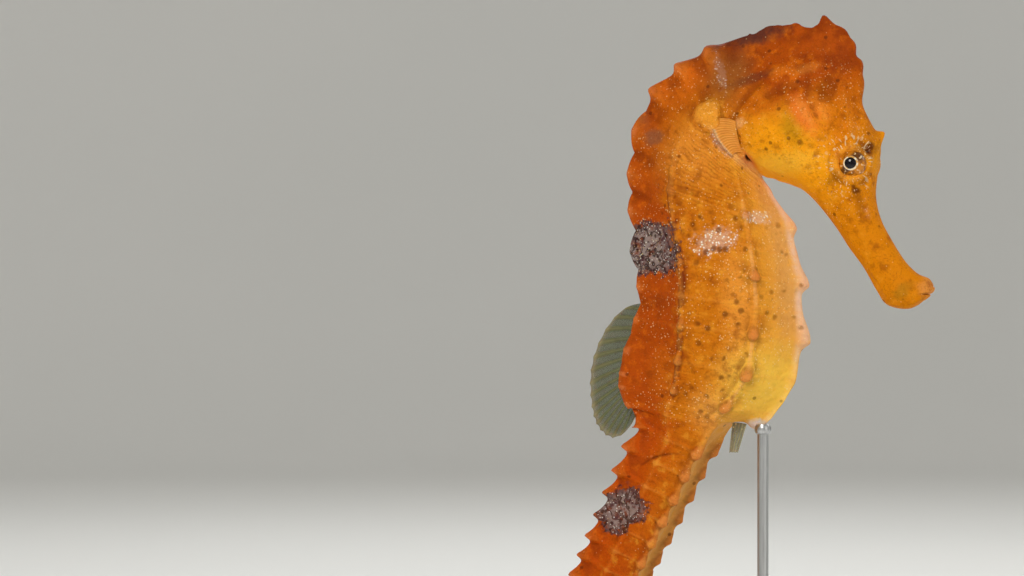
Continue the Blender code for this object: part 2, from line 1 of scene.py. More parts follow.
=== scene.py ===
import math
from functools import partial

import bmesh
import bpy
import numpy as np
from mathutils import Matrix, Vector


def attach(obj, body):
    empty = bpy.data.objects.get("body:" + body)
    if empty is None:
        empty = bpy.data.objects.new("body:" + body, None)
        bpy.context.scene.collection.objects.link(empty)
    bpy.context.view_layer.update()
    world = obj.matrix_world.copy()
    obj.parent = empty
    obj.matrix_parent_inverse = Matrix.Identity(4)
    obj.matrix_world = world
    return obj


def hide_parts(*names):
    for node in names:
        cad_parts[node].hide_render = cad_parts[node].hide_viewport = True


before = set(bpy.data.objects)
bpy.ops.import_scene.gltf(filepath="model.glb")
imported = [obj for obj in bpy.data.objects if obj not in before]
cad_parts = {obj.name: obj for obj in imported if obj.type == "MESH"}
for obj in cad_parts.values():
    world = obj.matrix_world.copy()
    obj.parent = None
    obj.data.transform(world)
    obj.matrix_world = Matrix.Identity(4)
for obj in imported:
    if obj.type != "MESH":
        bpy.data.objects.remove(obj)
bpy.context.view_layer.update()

# A longsnout seahorse as a museum model. The animal faces +X, up is +Z, and its
# middle plane is Y = 0. Lengths are millimetres until a mesh is made.
#
# The skin is one loft. Its sections are closed curves through eight points: the
# back's middle line, three ridges down the left side, the belly's middle line
# and the same ridges of the right side. A place on it is a station, counted from
# the mouth to the tip of the tail, and a place around, from 0 on the back over
# 1, 2 and 3 on the ridges to 4 on the belly.

MM = 0.001

# ---- the body's sizes -----------------------------------------------------

#   name           back x, z        belly x, z      half widths      depths
STATIONS = (
    ("mouth",      (29.2, 87.1), (27.4, 84.9), (1.0, 1.5, 1.0), (0.15, 0.50, 0.85)),
    ("lip",        (28.6, 88.4), (25.3, 83.7), (1.4, 2.0, 1.4), (0.13, 0.50, 0.87)),
    ("flare",      (26.8, 89.2), (22.0, 84.3), (1.6, 2.4, 1.6), (0.13, 0.52, 0.88)),
    ("snout_end",  (24.9, 91.0), (20.3, 86.5), (1.5, 2.1, 1.5), (0.14, 0.50, 0.86)),
    ("snout",      (22.9, 94.0), (18.2, 90.1), (1.5, 2.1, 1.5), (0.14, 0.50, 0.86)),
    ("snout_mid",  (20.9, 97.7), (15.9, 93.2), (1.8, 2.4, 1.7), (0.14, 0.50, 0.86)),
    ("snout_root", (20.0, 101.5), (14.0, 96.1), (2.1, 3.0, 2.1), (0.12, 0.46, 0.86)),
    ("eye",        (20.3, 105.8), (11.7, 99.1), (2.5, 4.3, 2.7), (0.08, 0.34, 0.84)),
    ("brow",       (20.6, 109.9), (9.7, 101.3), (2.4, 4.9, 3.5), (0.08, 0.38, 0.84)),
    ("forehead",   (17.9, 115.8), (8.2, 102.5), (2.0, 5.2, 4.3), (0.11, 0.48, 0.84)),
    ("crown",      (17.6, 120.6), (7.1, 103.0), (1.9, 5.5, 4.7), (0.12, 0.54, 0.84)),
    ("poll",       (15.4, 125.0), (5.8, 103.5), (1.8, 5.9, 5.0), (0.12, 0.58, 0.84)),
    ("nape",       (11.5, 127.6), (4.4, 103.9), (1.6, 6.3, 5.2), (0.12, 0.58, 0.84)),
    ("cheek",      (7.1, 128.5), (3.5, 104.3), (1.4, 6.5, 5.3), (0.13, 0.58, 0.84)),
    ("gill_cover", (1.5, 127.7), (2.3, 104.5), (1.3, 6.6, 5.3), (0.14, 0.58, 0.84)),
    ("gill",       (-2.5, 126.8), (1.6, 104.8), (1.5, 6.4, 5.0), (0.14, 0.58, 0.84)),
    ("ring_1",     (-7.0, 125.2), (1.4, 104.7), (2.5, 6.4, 5.0), (0.05, 0.52, 0.82)),
    ("ring_2",     (-11.4, 122.0), (1.5, 104.3), (3.1, 6.8, 5.2), (0.02, 0.44, 0.80)),
    ("ring_3",     (-15.2, 118.2), (2.6, 102.5), (3.7, 7.2, 5.6), (0.0, 0.38, 0.79)),
    ("ring_4",     (-18.3, 112.1), (4.7, 99.2), (4.1, 7.7, 6.0), (0.0, 0.34, 0.79)),
    ("ring_5",     (-19.3, 105.3), (5.9, 96.3), (4.3, 8.0, 6.3), (0.0, 0.33, 0.79)),
    ("ring_6",     (-19.1, 99.4), (7.0, 91.8), (4.4, 8.2, 6.5), (0.0, 0.33, 0.79)),
    ("ring_7",     (-18.0, 92.9), (7.6, 87.6), (4.5, 8.2, 6.6), (0.0, 0.33, 0.79)),
    ("ring_8",     (-17.6, 87.1), (7.8, 83.0), (4.5, 8.1, 6.6), (0.0, 0.33, 0.79)),
    ("ring_9",     (-18.2, 82.0), (7.7, 78.9), (4.5, 7.8, 6.4), (0.0, 0.34, 0.78)),
    ("ring_10",    (-19.3, 77.0), (7.0, 72.2), (4.4, 7.2, 5.9), (0.0, 0.35, 0.76)),
    ("ring_11",    (-19.7, 73.2), (3.6, 66.3), (4.2, 6.3, 5.1), (0.0, 0.37, 0.72)),
    ("keel_end",   (-19.9, 71.2), (-0.2, 64.7), (4.1, 5.8, 4.7), (0.0, 0.40, 0.76)),
    ("vent",       (-19.5, 68.4), (-4.0, 64.6), (3.9, 5.3, 4.3), (0.0, 0.44, 0.92)),
)
HEAD_STATIONS, TAIL_RINGS = 16, 35
ROUND_HEAD, ROUND_BODY = 1.0, 0.35  # 1 is a smooth section, 0 one with flat faces

TAIL_START = (-12.8, 62.8)
TAIL_SLANT = math.radians(26.2)
TAIL_STRAIGHT, TAIL_ROLLED = 27.0, 57.0
TAIL_STEP = 0.25  # mm between points of the tail's middle line
TAIL_FIRST_RADIUS, TAIL_LAST_RADIUS = 18.0, 5.5
TAIL_RING_RATIO = 0.962  # each ring's length as a part of the one before
TAIL_DEPTH, TAIL_WIDTH = 10.3, 9.4
TAIL_TIP_DEPTH = 1.5
TAIL_FULL_LENGTH = 26.0  # mm of the tail before it tapers to its tip
TAIL_FIRST_TAPER = 0.14  # the part of its size that it loses before that
TAIL_UPPER_WIDTH, TAIL_LOWER_WIDTH = 0.82, 0.86

SKIN_SPACING = 0.24  # mm between neighbouring sections, before thinning
FACE_STEPS = (16, 38, 48, 30)  # points from the back to ridge 1, 2, 3 and the belly
SKIN_TRIANGLES = 196000

EYE_CENTRE = (17.3, 3.65, 106.3)
EYE_RADIUS = 2.25
PUPIL = (17.6, 106.35)  # x and z of its middle

FIRST_RING = HEAD_STATIONS - 1  # ring n of the trunk is station FIRST_RING + n
TAIL_FIRST = len(STATIONS)


# ---- curves and bumps -----------------------------------------------------

def spline(before, start, end, after, f):
    """A smooth curve from start to end, with the slopes that its neighbours give."""
    return 0.5 * (
        2 * start
        + (end - before) * f
        + (2 * before - 5 * start + 4 * end - after) * f**2
        + (3 * start - before - 3 * end + after) * f**3
    )


def through(values, t):
    """A smooth curve through rows of values, read at t = 0 for the first row."""
    values = np.asarray(values, float)
    last = len(values) - 1
    t = np.clip(np.asarray(t, float), 0, last)
    i = np.minimum(t.astype(int), last - 1)
    before, after = values[np.maximum(i - 1, 0)], values[np.minimum(i + 2, last)]
    return spline(before, values[i], values[i + 1], after, (t - i)[..., None])


def ease(low, high, x):
    """0 at low, 1 at high, with a smooth turn at both."""
    f = np.clip((np.asarray(x, float) - low) / (high - low), 0, 1)
    return f * f * (3 - 2 * f)


def bell(x):
    return np.exp(-np.square(x))


def unit(v):
    return v / np.maximum(np.linalg.norm(v, axis=-1, keepdims=True), 1e-9)


# ---- the body's loft ------------------------------------------------------

def tail_middle(length):
    """The point and the direction of the tail's middle line, by its length."""
    x, z = TAIL_START
    angle = TAIL_SLANT
    for i in range(round(length / TAIL_STEP)):
        rolled = i * TAIL_STEP - TAIL_STRAIGHT
        if rolled > 0:
            part = rolled / TAIL_ROLLED
            radius = TAIL_FIRST_RADIUS + (TAIL_LAST_RADIUS - TAIL_FIRST_RADIUS) * part
            angle -= TAIL_STEP / radius
        x -= math.sin(angle) * TAIL_STEP
        z -= math.cos(angle) * TAIL_STEP
    return np.array((x, z)), np.array((-math.sin(angle), -math.cos(angle)))


def tail_size(length):
    """How large the tail is there, as a part of its size where it starts."""
    total = TAIL_STRAIGHT + TAIL_ROLLED
    part = max(0.0, (length - TAIL_FULL_LENGTH) / (total - TAIL_FULL_LENGTH))
    tip = TAIL_TIP_DEPTH / TAIL_DEPTH
    return (1 - TAIL_FIRST_TAPER * min(length / TAIL_FULL_LENGTH, 1)) * (1 - part * (1 - tip))


def tail_stations():
    """Rows like those of the table above, for the rings of the tail."""
    total = TAIL_STRAIGHT + TAIL_ROLLED
    steps = np.cumsum([0] + [TAIL_RING_RATIO**i for i in range(TAIL_RINGS - 1)])
    rows = []
    for length in steps / steps[-1] * total:
        middle, along = tail_middle(length)
        down = np.array((-along[1], along[0]))
        half = 0.5 * TAIL_DEPTH * tail_size(length)
        wide = 0.5 * TAIL_WIDTH * tail_size(length)
        widths = (TAIL_UPPER_WIDTH * wide, wide, TAIL_LOWER_WIDTH * wide)
        rows.append((middle - down * half, middle + down * half, widths, (0.0, 0.5, 1.0)))
    return rows


def all_stations():
    rows = [row[1:] for row in STATIONS] + tail_stations()
    return [np.array([np.ravel(row[i]) for row in rows]) for i in range(4)]


BACK, BELLY, HALF_WIDTHS, DEPTHS = all_stations()
LAST = len(BACK) - 1


def section_points(t):
    """The eight points of each section: (depth, half width) pairs, one row a t."""
    width = through(HALF_WIDTHS, t)
    depth = through(DEPTHS, t)
    zero, one = np.zeros(len(t)), np.ones(len(t))
    left = [(zero, zero)] + [(depth[:, i], width[:, i]) for i in range(3)] + [(one, zero)]
    right = [(depth[:, i], -width[:, i]) for i in (2, 1, 0)]
    return np.array(left + right).transpose(2, 0, 1)


def body_surface(t, around):
    """Points of the plain body at stations t and places around, as (t, around, 3)."""
    t = np.asarray(t, float)
    around = np.asarray(around, float) % 8
    points = section_points(t)
    i = around.astype(int)
    f = (around - i)[None, :, None]
    before, start, end, after = (points[:, (i + k) % 8] for k in (-1, 0, 1, 2))
    straight = start + (end - start) * f
    curved = spline(before, start, end, after, f)
    head = np.clip(FIRST_RING + 1 - t, 0, 1)[:, None, None]
    section = straight + (curved - straight) * (ROUND_BODY + (ROUND_HEAD - ROUND_BODY) * head)
    back, belly = through(BACK, t)[:, None], through(BELLY, t)[:, None]
    middle_line = back + (belly - back) * section[..., :1]
    return np.stack((middle_line[..., 0], section[..., 1], middle_line[..., 1]), axis=-1)


def station_steps(spacing):
    """Stations whose sections lie about spacing mm apart, and their distance along."""
    t = np.linspace(0, LAST, 60 * LAST + 1)
    back, belly = through(BACK, t), through(BELLY, t)
    steps = [np.linalg.norm(np.diff(line, axis=0), axis=1) for line in (back, belly)]
    along = np.concatenate([[0], np.cumsum(0.5 * (steps[0] + steps[1]))])
    even = np.linspace(0, along[-1], round(along[-1] / spacing) + 1)
    return np.interp(even, along, t), even


def places_around():
    """Places round a section, closer together where it bends more."""
    left = [i + j / n for i, n in enumerate(FACE_STEPS) for j in range(n)]
    right = [8 - place for place in left[1:]]
    return np.array(left + [4.0] + right[::-1])


# ---- the skin's relief ----------------------------------------------------

#   ring: height in mm of its knobs or swellings
KNOBS_LOWER = {5: 0.4, 7: 0.6, 9: 0.5, 10: 1.2, 11: 0.75}
KNOBS_SIDE = {5: 0.35, 7: 0.4, 9: 0.35, 10: 0.4, 11: 0.4}
KEEL_HUMPS = {3: 0.3, 5: 0.9, 7: 1.35, 9: 1.45, 10: 0.5, 11: 0.3}
NAPE_TEETH = {1: 1.6, 2: 1.5, 3: 1.4}
BACK_SCALLOPS = {4: 1.25, 5: 0.95, 6: 0.95, 7: 1.25, 8: 0.55, 9: 0.35, 10: 0.3}
TAIL_TEETH, TAIL_KNOBS = 1.65, 0.52  # heights where the tail starts
TAIL_TIP_HEIGHT = 0.25  # what is left of them at its tip
TOOTH_ROUNDING = 0.42  # mm


class Relief:
    """The skin's grid of points, raised and lowered in mm along its normals."""

    def __init__(self, t, along, around):
        self.t = t[:, None]
        self.ring = self.t - FIRST_RING
        self.along = along[:, None]
        self.side = np.where(around > 4, 8 - around, around)[None, :]
        self.base = body_surface(t, around)
        self.x, self.y, self.z = (self.base[..., i] for i in range(3))
        self.outer = ease(1.5, 3.5, np.abs(self.y))  # 0 near the middle plane
        self.down = unit(np.gradient(self.base, axis=0))
        across = np.roll(self.base, -1, axis=1) - np.roll(self.base, 1, axis=1)
        self.normal = unit(np.cross(self.down, across))
        middle = self.base.mean(axis=1, keepdims=True)
        if np.sum(self.normal * (self.base - middle)) < 0:
            self.normal = -self.normal
        grid = self.base.shape[:2]
        self.lift, self.shift, self.knob, self.hollow = (np.zeros(grid) for _ in range(4))
        step = np.gradient(through(0.5 * (BACK + BELLY), t), axis=0)
        ring_length = (np.linalg.norm(step, axis=1) / np.gradient(t))[:, None]
        self.ring_length = ring_length
        self.from_ring = (self.t - np.rint(self.t)) * ring_length
        corners = body_surface(t, np.arange(5))
        self.faces = np.linalg.norm(np.diff(corners, axis=1), axis=-1)

    def shrink(self, first, least):
        """How large the tail's knobs are: 1 where it starts, least at its tip."""
        return np.clip(first - (self.t - TAIL_FIRST) / (LAST - TAIL_FIRST), least, 1)

    def from_ridge(self, place):
        """Signed distance round the body from a ridge, in mm."""
        ahead = self.faces[:, min(place, 3)][:, None]
        behind = self.faces[:, max(place - 1, 0)][:, None]
        away = self.side - place
        return np.where(away > 0, away * ahead, away * behind)

    def in_side_view(self, x, z, turn=0.0):
        """Distances from a point of the side view, along and across a direction."""
        dx, dz = self.x - x, self.z - z
        c, s = math.cos(math.radians(turn)), math.sin(math.radians(turn))
        return dx * c + dz * s, dz * c - dx * s

    def spot(self, x, z, length, width, turn=0.0):
        """1 at a point of the side view, falling off over length and width."""
        u, v = self.in_side_view(x, z, turn)
        return bell(np.hypot(u / length, v / width))

    # The hollow grid says where the skin's colour gets painted shade: in pores, slits, creases and
    # round the feet of knobs.
    def mark_painted_shade(self, amount):
        self.hollow = np.maximum(self.hollow, amount)

    def points(self):
        return self.base + self.normal * self.lift[..., None] + self.down * self.shift[..., None]


def ring_heights(relief, sizes, tail=0.0):
    """For each section, the knob height of the nearest ring, of the one behind it
    and of the one ahead."""
    stations = np.zeros(LAST + 2)
    for ring, height in sizes.items():
        stations[FIRST_RING + ring] = height
    if tail:
        part = np.linspace(1, TAIL_TIP_HEIGHT, LAST + 1 - TAIL_FIRST)
        stations[TAIL_FIRST : LAST + 1] = tail * part
    nearest, behind = np.rint(relief.t).astype(int), np.floor(relief.t).astype(int)
    return stations[nearest], stations[behind], stations[behind + 1]


def add_round_knobs(relief, place, sizes, radius, tail=0.0):
    """Rounded knobs where the rings cross a ridge."""
    height = ring_heights(relief, sizes, tail)[0]
    in_tail = relief.t > TAIL_FIRST - 0.6
    reach = np.where(in_tail, 1.05 * relief.shrink(1.15, 0.2), radius)
    u, v = relief.from_ridge(place), relief.from_ring
    # A little longer ahead of the ring than behind it.
    away = np.hypot(u / reach, np.where(v < 0, v / (1.6 * reach), v / (0.9 * reach)))
    shape = bell(away**1.5)
    relief.lift += height * shape
    relief.shift += np.where(in_tail, 0.15, 0.35) * height * shape**2
    colour = np.clip(height / 0.5, 0, 1)
    relief.knob = np.maximum(relief.knob, shape * colour)
    # A ring of painted shade round most of the knob's foot.
    rim = bell((away - 1.15) / 0.22) * (v > -0.3 * reach) * colour
    relief.mark_painted_shade(0.3 * rim)


def add_humps(relief, sizes):
    """Swellings of the keel: a slow rise to each ring, then a shorter fall."""
    across = bell(relief.from_ridge(4) / 1.5)
    for ring, height in sizes.items():
        v = (relief.ring - ring) * relief.ring_length
        shape = height * bell(np.where(v < 0, v / 2.9, v / 1.25)) * across
        relief.lift += shape
        relief.shift += 0.3 * shape


def blurred(grid, reach):
    """The grid with each value made the mean of those near it, round and along."""
    for _ in range(3):
        total = np.cumsum(np.pad(grid, ((reach + 1, reach), (0, 0)), mode="edge"), axis=0)
        grid = (total[2 * reach + 1 :] - total[: -2 * reach - 1]) / (2 * reach + 1)
        total = np.cumsum(np.pad(grid, ((0, 0), (reach + 1, reach)), mode="wrap"), axis=1)
        grid = (total[:, 2 * reach + 1 :] - total[:, : -2 * reach - 1]) / (2 * reach + 1)
    return grid


def rounded(profile, reach):
    """A profile along the body with its corners rounded over reach mm."""
    steps = np.arange(-8, 9) * SKIN_SPACING
    weights = bell(steps / reach)
    return np.convolve(profile[:, 0], weights / weights.sum(), mode="same")[:, None]


def add_teeth(relief, sizes, reach, tail=0.0):
    """Hooked knobs along the upper ridge: a slow rise to each ring, then a short fall."""
    _, behind, ahead = ring_heights(relief, sizes, tail)
    phase = relief.t - np.floor(relief.t)
    fall = behind * np.clip(1 - phase / 0.22, 0, 1) ** 1.2
    rise = ahead * np.clip((phase - 0.12) / 0.88, 0, 1) ** 2.2
    height = rounded(np.maximum(fall, rise), TOOTH_ROUNDING)
    shape = bell(relief.from_ridge(1) / reach) * height
    relief.lift += shape
    relief.shift += 0.25 * np.square(shape)


def add_scallops(relief, sizes):
    """Rounded swellings of the back over each ring of the middle of the trunk."""
    swell = np.abs(np.cos(math.pi * relief.t)) ** 0.8
    flank = bell(relief.from_ridge(1) / 3.2)
    across = np.where(relief.side < 1, 0.55 + 0.45 * relief.side, flank)
    relief.lift += ring_heights(relief, sizes)[0] * swell * across


def add_ridges(relief):
    """The lines of the ridges and the rings, and the slightly sunken faces."""
    tail = ease(TAIL_FIRST - 1, TAIL_FIRST, relief.t)
    trunk = ease(0.3, 1.4, relief.ring) * (1 - ease(TAIL_FIRST - 1.2, TAIL_FIRST, relief.t))
    below_neck = trunk * ease(2.0, 5.0, relief.ring)
    shrink = relief.shrink(1.1, 0.15)
    ridges = ((1, 0.18, 0.8, trunk), (2, 0.34, 0.65, below_neck), (3, 0.38, 0.6, below_neck))
    for place, high, wide, where in ridges:
        relief.lift += (where * high + tail * 0.3 * shrink) * bell(relief.from_ridge(place) / wide)
    faces = 1 - bell((relief.side - 4) / 0.35)
    ring_lines = bell(relief.from_ring / 0.42)
    relief.lift += (0.13 * trunk * faces + 0.2 * tail * shrink) * ring_lines
    sunk = np.square(np.sin(math.pi * (relief.side % 1)))
    relief.lift -= sunk * (0.25 * trunk * ease(1.0, 1.2, relief.side) + 0.42 * tail * shrink)


def add_keel(relief):
    """The thin edge of the belly, from the throat to the point above the vent."""
    trunk = ease(2.0, 4.5, relief.ring) * (1 - ease(11.4, 12.6, relief.ring))
    relief.lift += 0.35 * trunk * bell(relief.from_ridge(4) / 0.8)


def add_folds(relief):
    """Uneven low swellings, and folds where the head bends down on the throat."""
    x, y, z = relief.x, relief.y, relief.z
    across = np.sin(0.61 * x + 1.3 * np.sin(0.37 * z))
    upwards = np.sin(0.53 * z + 0.9 * np.sin(0.41 * x + 0.8 * y))
    relief.lift += 0.1 * (across * upwards) * ease(-6, 3, relief.ring)
    fold = np.sin(2.9 * relief.along + 1.1 * np.sin(2.1 * relief.side))
    throat = bell((relief.ring - 2.4) / 1.3) * ease(1.7, 2.4, relief.side)
    throat = throat * (1 - ease(3.6, 4, relief.side))
    relief.lift += 0.07 * fold * throat


def add_eye_socket(relief):
    """A low turret with a rolled rim, hollow where the eyeball sits."""
    away = np.hypot(*relief.in_side_view(EYE_CENTRE[0], EYE_CENTRE[2]))
    head = ease(1.5, 2.6, np.abs(relief.y)) * (relief.ring < -3)
    for lift, radius, wide in ((0.35, 0, 3.6), (0.3, 2.3, 0.4), (-0.16, 3.4, 0.45)):
        relief.lift += head * lift * bell((away - radius) / wide)
    relief.lift -= head * 1.6 * (1 - ease(1.35, 1.85, away))


#   lift, x, z, length, width, turn: the low forms of the head's side
HEAD_FORMS = (
    (0.75, 16.4, 114.6, 5.0, 0.9, 100),  # the brow ridge, up to the coronet
    (-0.8, 13.4, 118.2, 3.4, 1.7, 70),  # the temple behind it
    (0.45, 9.8, 121.0, 4.0, 1.1, 35),
    (-0.5, 6.2, 118.2, 3.6, 1.2, 25),
    (-0.35, 19.3, 103.5, 4.5, 0.7, 97),  # the groove from the brow to the snout
    (0.45, 10.2, 114.2, 2.8, 1.1, -60),  # the cheek's two lobes
    (0.32, 12.6, 114.7, 1.8, 0.9, -62),
    (-0.25, 11.6, 114.2, 2.4, 0.5, -61),  # and the groove between them
    (-0.35, 11.8, 109.6, 2.8, 1.1, 35),
    (-0.4, 1.2, 120.8, 5.0, 2.2, 80),
    (0.3, 7.0, 121.5, 5.5, 1.1, 5),
)
GILL_RIBS = 17  # ribs in a full turn


def add_head_features(relief):
    """The gill cover, its edge and pore, the brow, temple and cheek."""
    outer = relief.outer * (relief.ring < 3)
    relief.lift += 0.95 * relief.spot(7.8, 111.6, 6.6, 5.4, 20) * outer
    u, v = relief.in_side_view(7.8, 112.2)
    away, angle = np.hypot(u, v), np.degrees(np.arctan2(v, -u))
    rear = (1 - ease(48, 75, np.abs(angle + 8))) * outer
    relief.lift -= 0.26 * bell((away - 8.9) / 0.85) * rear
    relief.lift += 0.12 * bell((away - 7.7) / 0.8) * rear
    ribs = np.cos(math.radians(1) * angle * GILL_RIBS) * bell((away - 5.2) / 2.4)
    relief.lift += 0.05 * ribs * outer
    # The gill pore, a small crescent at the lower end of the edge.
    u, v = relief.in_side_view(0.25, 107.2, -68)
    pore = bell(np.hypot(u / 0.8, (v - 0.5 * u * u) / 0.2)) * outer
    relief.lift -= 0.6 * pore
    # Painted shade inside the pore.
    relief.mark_painted_shade(ease(0.25, 0.75, pore))
    relief.lift += 0.3 * relief.spot(-0.6, 107.0, 1.0, 0.5, -68) * outer
    for lift, x, z, length, width, turn in HEAD_FORMS:
        relief.lift += lift * relief.spot(x, z, length, width, turn) * outer


def add_shoulder(relief):
    """The fleshy root of the pectoral fin, the small bump beside it and the folds
    between them and the throat."""
    outer = relief.outer * (relief.ring < 5) * (relief.ring > -2)
    u, v = relief.in_side_view(-4.6, 114.2, 100)
    away = np.hypot(u / 2.7, np.where(v < 0, v / 1.35, v / 3.4))
    relief.lift += (0.5 * bell(away) + 0.5 * (1 - ease(0.72, 1.08, away))) * outer
    relief.lift += 0.35 * relief.spot(-0.3, 112.9, 0.9, 0.7) * outer
    for i in range(4):
        u, v = relief.in_side_view(-2.4 + 0.55 * i, 111.0 - 1.15 * i, 25)
        relief.lift += 0.14 * bell(np.hypot(u / 2.4, (v - 0.08 * u * u) / 0.28)) * outer


def add_snout_features(relief):
    """A low ridge along each side of the snout, the lips and the nostrils."""
    snout = (1 - ease(6.0, 7.0, relief.t)) * ease(1.6, 2.6, relief.t)
    relief.lift += 0.14 * snout * bell(relief.from_ridge(2) / 0.7)
    relief.lift -= 0.1 * snout * bell((relief.from_ridge(3) - 0.2) / 0.5)
    lips = 1 - ease(0.0, 1.2, relief.t)
    relief.lift += 0.14 * bell((relief.t - 0.35) / 0.3)
    mouth = lips * bell(relief.from_ridge(2) / 0.22)
    relief.lift -= 0.28 * mouth
    # Painted shade in the mouth's slit.
    relief.mark_painted_shade(0.35 * mouth)
    nostril = relief.spot(19.6, 108.3, 0.32, 0.42, 30) * (relief.ring < -3)
    relief.lift -= 0.4 * nostril
    # Painted shade in the nostril.
    relief.mark_painted_shade(0.9 * nostril)


def add_spines(relief, points):
    """The pointed spine on the nose and the blunt one over each eye."""
    x, y, z = relief.x, relief.y, relief.z
    near_head = relief.ring < -3
    square = np.square
    nose = bell(np.sqrt(square(x - 20.3) + square(1.2 * y) + square(0.85 * (z - 110.3))) / 0.78)
    over_eye = bell(np.sqrt(square(x - 16.9) + square(np.abs(y) - 4.0) + square(z - 110.2)) / 0.95)
    points += (nose * near_head)[..., None] * 1.5 * np.array((0.75, 0, 0.62))
    points[..., 1] += over_eye * near_head * 0.75 * np.sign(y)
    points[..., 2] += over_eye * near_head * 0.6


#   x, z, y, tall, wide: the crown's lobes, in pairs where y isn't 0, then the
#   small waves of the nape
CROWN_LOBES = (
    (12.3, 127.5, 0.0, 2.2, 1.1),
    (14.3, 126.3, 0.0, 1.35, 1.2),
    (13.0, 126.6, 1.7, 1.5, 1.0),
    (15.9, 124.7, 0.9, 1.0, 1.25),
    (17.5, 121.9, 0.8, 0.85, 1.3),
    (17.9, 118.3, 0.5, 0.5, 2.0),
    (2.6, 128.3, 0.0, 0.75, 1.4),
    (9.2, 128.1, 0.0, -0.25, 1.3),
    (5.3, 128.5, 0.0, 0.3, 1.5),
    (-1.2, 127.5, 0.0, 0.55, 0.7),
    (1.0, 127.9, 0.7, 0.4, 0.6),
    (4.2, 128.5, 0.6, 0.35, 0.6),
    (7.2, 128.6, 0.0, 0.4, 0.7),
    (10.6, 127.8, 0.8, 0.35, 0.7),
)


def add_coronet(relief, points):
    """The crown: a low dome with rounded lobes, and small waves along the nape."""
    x, y, z = relief.x, relief.y, relief.z
    head = (relief.ring < -0.5) * (z > 116)
    high = 0.55 * bell(np.hypot((x - 13.4) / 3.4, y / 2.4) ** 2)
    for lobe_x, lobe_z, lobe_y, tall, wide in CROWN_LOBES:
        beside = 0.75 * (np.abs(y) - lobe_y)
        away = np.sqrt(np.square(x - lobe_x) + np.square(z - lobe_z) + np.square(beside)) / wide
        high = high + tall * bell(away**1.5)
    outwards = np.stack((np.clip(0.35 * (x - 13.2), -0.15, 1.4), 0 * x, 1 + 0 * x), -1)
    points += (high * head * ease(115, 118.5, z))[..., None] * unit(outwards)


#   z, lift, half height: where the middle of the back, then the keel, swells
BACK_SWELLS = ((72.5, 1.15, 5.2), (84.6, -0.7, 2.6), (109.5, -0.75, 6.5), (98.5, -0.6, 6.0))
KEEL_SWELLS = ((72.5, -0.75, 4.0), (66.8, -0.9, 2.6))


def add_outline(relief):
    """Swellings of the back and hollows of the keel that the rings alone don't give."""
    trunk = (relief.ring > 2.5) * (relief.ring < 13.2)
    back, keel = 1 - ease(0.9, 2.0, relief.side), ease(3.2, 4.0, relief.side)
    for swells, where in ((BACK_SWELLS, back), (KEEL_SWELLS, keel)):
        for height, lift, reach in swells:
            relief.lift += lift * bell((relief.z - height) / reach) * where * trunk
    tail = ease(12.6, 14.0, relief.ring) * (1 - ease(24, 28, relief.ring))
    relief.lift -= 0.45 * tail * ease(3.0, 3.6, relief.side)


def add_crease(relief):
    """A fold across the tail's flank, just behind the vent."""
    u, v = relief.in_side_view(-14.6, 60.0, 17)
    crease = bell(np.hypot(u / 2.6, (v + 0.05 * u * u) / 0.22)) * (relief.ring > 11)
    relief.lift -= 0.3 * crease
    # Painted shade along the crease.
    relief.mark_painted_shade(0.45 * crease)


def add_vent(relief):
    """The point of the belly that overhangs the vent."""
    middle = bell(relief.from_ridge(4) / 1.9) * (relief.ring > 9)
    relief.lift += 0.9 * relief.spot(0.7, 64.9, 1.1, 1.5) * middle
    relief.lift -= 0.55 * relief.spot(-2.1, 64.7, 1.2, 1.5) * middle


def end_rows(edge, inner, deep, steps, slit=0.0):
    """Rows that close an open end of the grid with a dome, slit across if wanted,
    and the point in the dome's middle."""
    outwards = unit(edge.mean(axis=0) - inner.mean(axis=0))
    middle = edge.mean(axis=0)
    down = unit(edge[0] - edge[len(edge) // 2])
    rows = []
    for k in range(1, steps + 1):
        angle = math.pi / 2 * k / steps
        row = middle + (edge - middle) * math.cos(angle)
        ahead = deep * math.sin(angle) * np.ones(len(row))
        high = (row - middle) @ down
        ahead -= slit * bell((high - 0.1) / 0.22)
        rows.append(row + outwards * ahead[:, None])
    return rows[:-1], middle + outwards * (deep - slit)


def skin_grid():
    """The relief with all its forms, and the skin's points."""
    t, along = station_steps(SKIN_SPACING)
    relief = Relief(t, along, places_around())
    add_teeth(relief, NAPE_TEETH, 2.2)
    add_scallops(relief, BACK_SCALLOPS)
    add_teeth(relief, {}, 1.15 * relief.shrink(1.1, 0.2), tail=TAIL_TEETH)
    add_humps(relief, KEEL_HUMPS)
    add_round_knobs(relief, 3, KNOBS_LOWER, 0.9, tail=TAIL_KNOBS)
    add_round_knobs(relief, 2, KNOBS_SIDE, 0.7)
    trunk_forms = add_ridges, add_keel, add_folds
    head_forms = add_head_features, add_shoulder, add_eye_socket, add_snout_features
    for add in (*trunk_forms, *head_forms, add_vent, add_crease, add_outline):
        add(relief)
    points = relief.points()
    add_spines(relief, points)
    add_coronet(relief, points)
    return relief, points


def skin_faces(rows, columns):
    """Quads between the rows, and triangles that close both ends on a point each."""
    i, j = np.meshgrid(np.arange(rows - 1), np.arange(columns), indexing="ij")
    here, below = i * columns, (i + 1) * columns
    k = (j + 1) % columns
    quads = np.stack((here + j, below + j, below + k, here + k), -1)
    faces = [tuple(face) for face in quads.reshape(-1, 4).tolist()]
    first, last, last_row = rows * columns, rows * columns + 1, (rows - 1) * columns
    for j in range(columns):
        k = (j + 1) % columns
        faces.append((first, j, k))
        faces.append((last, last_row + k, last_row + j))
    return faces


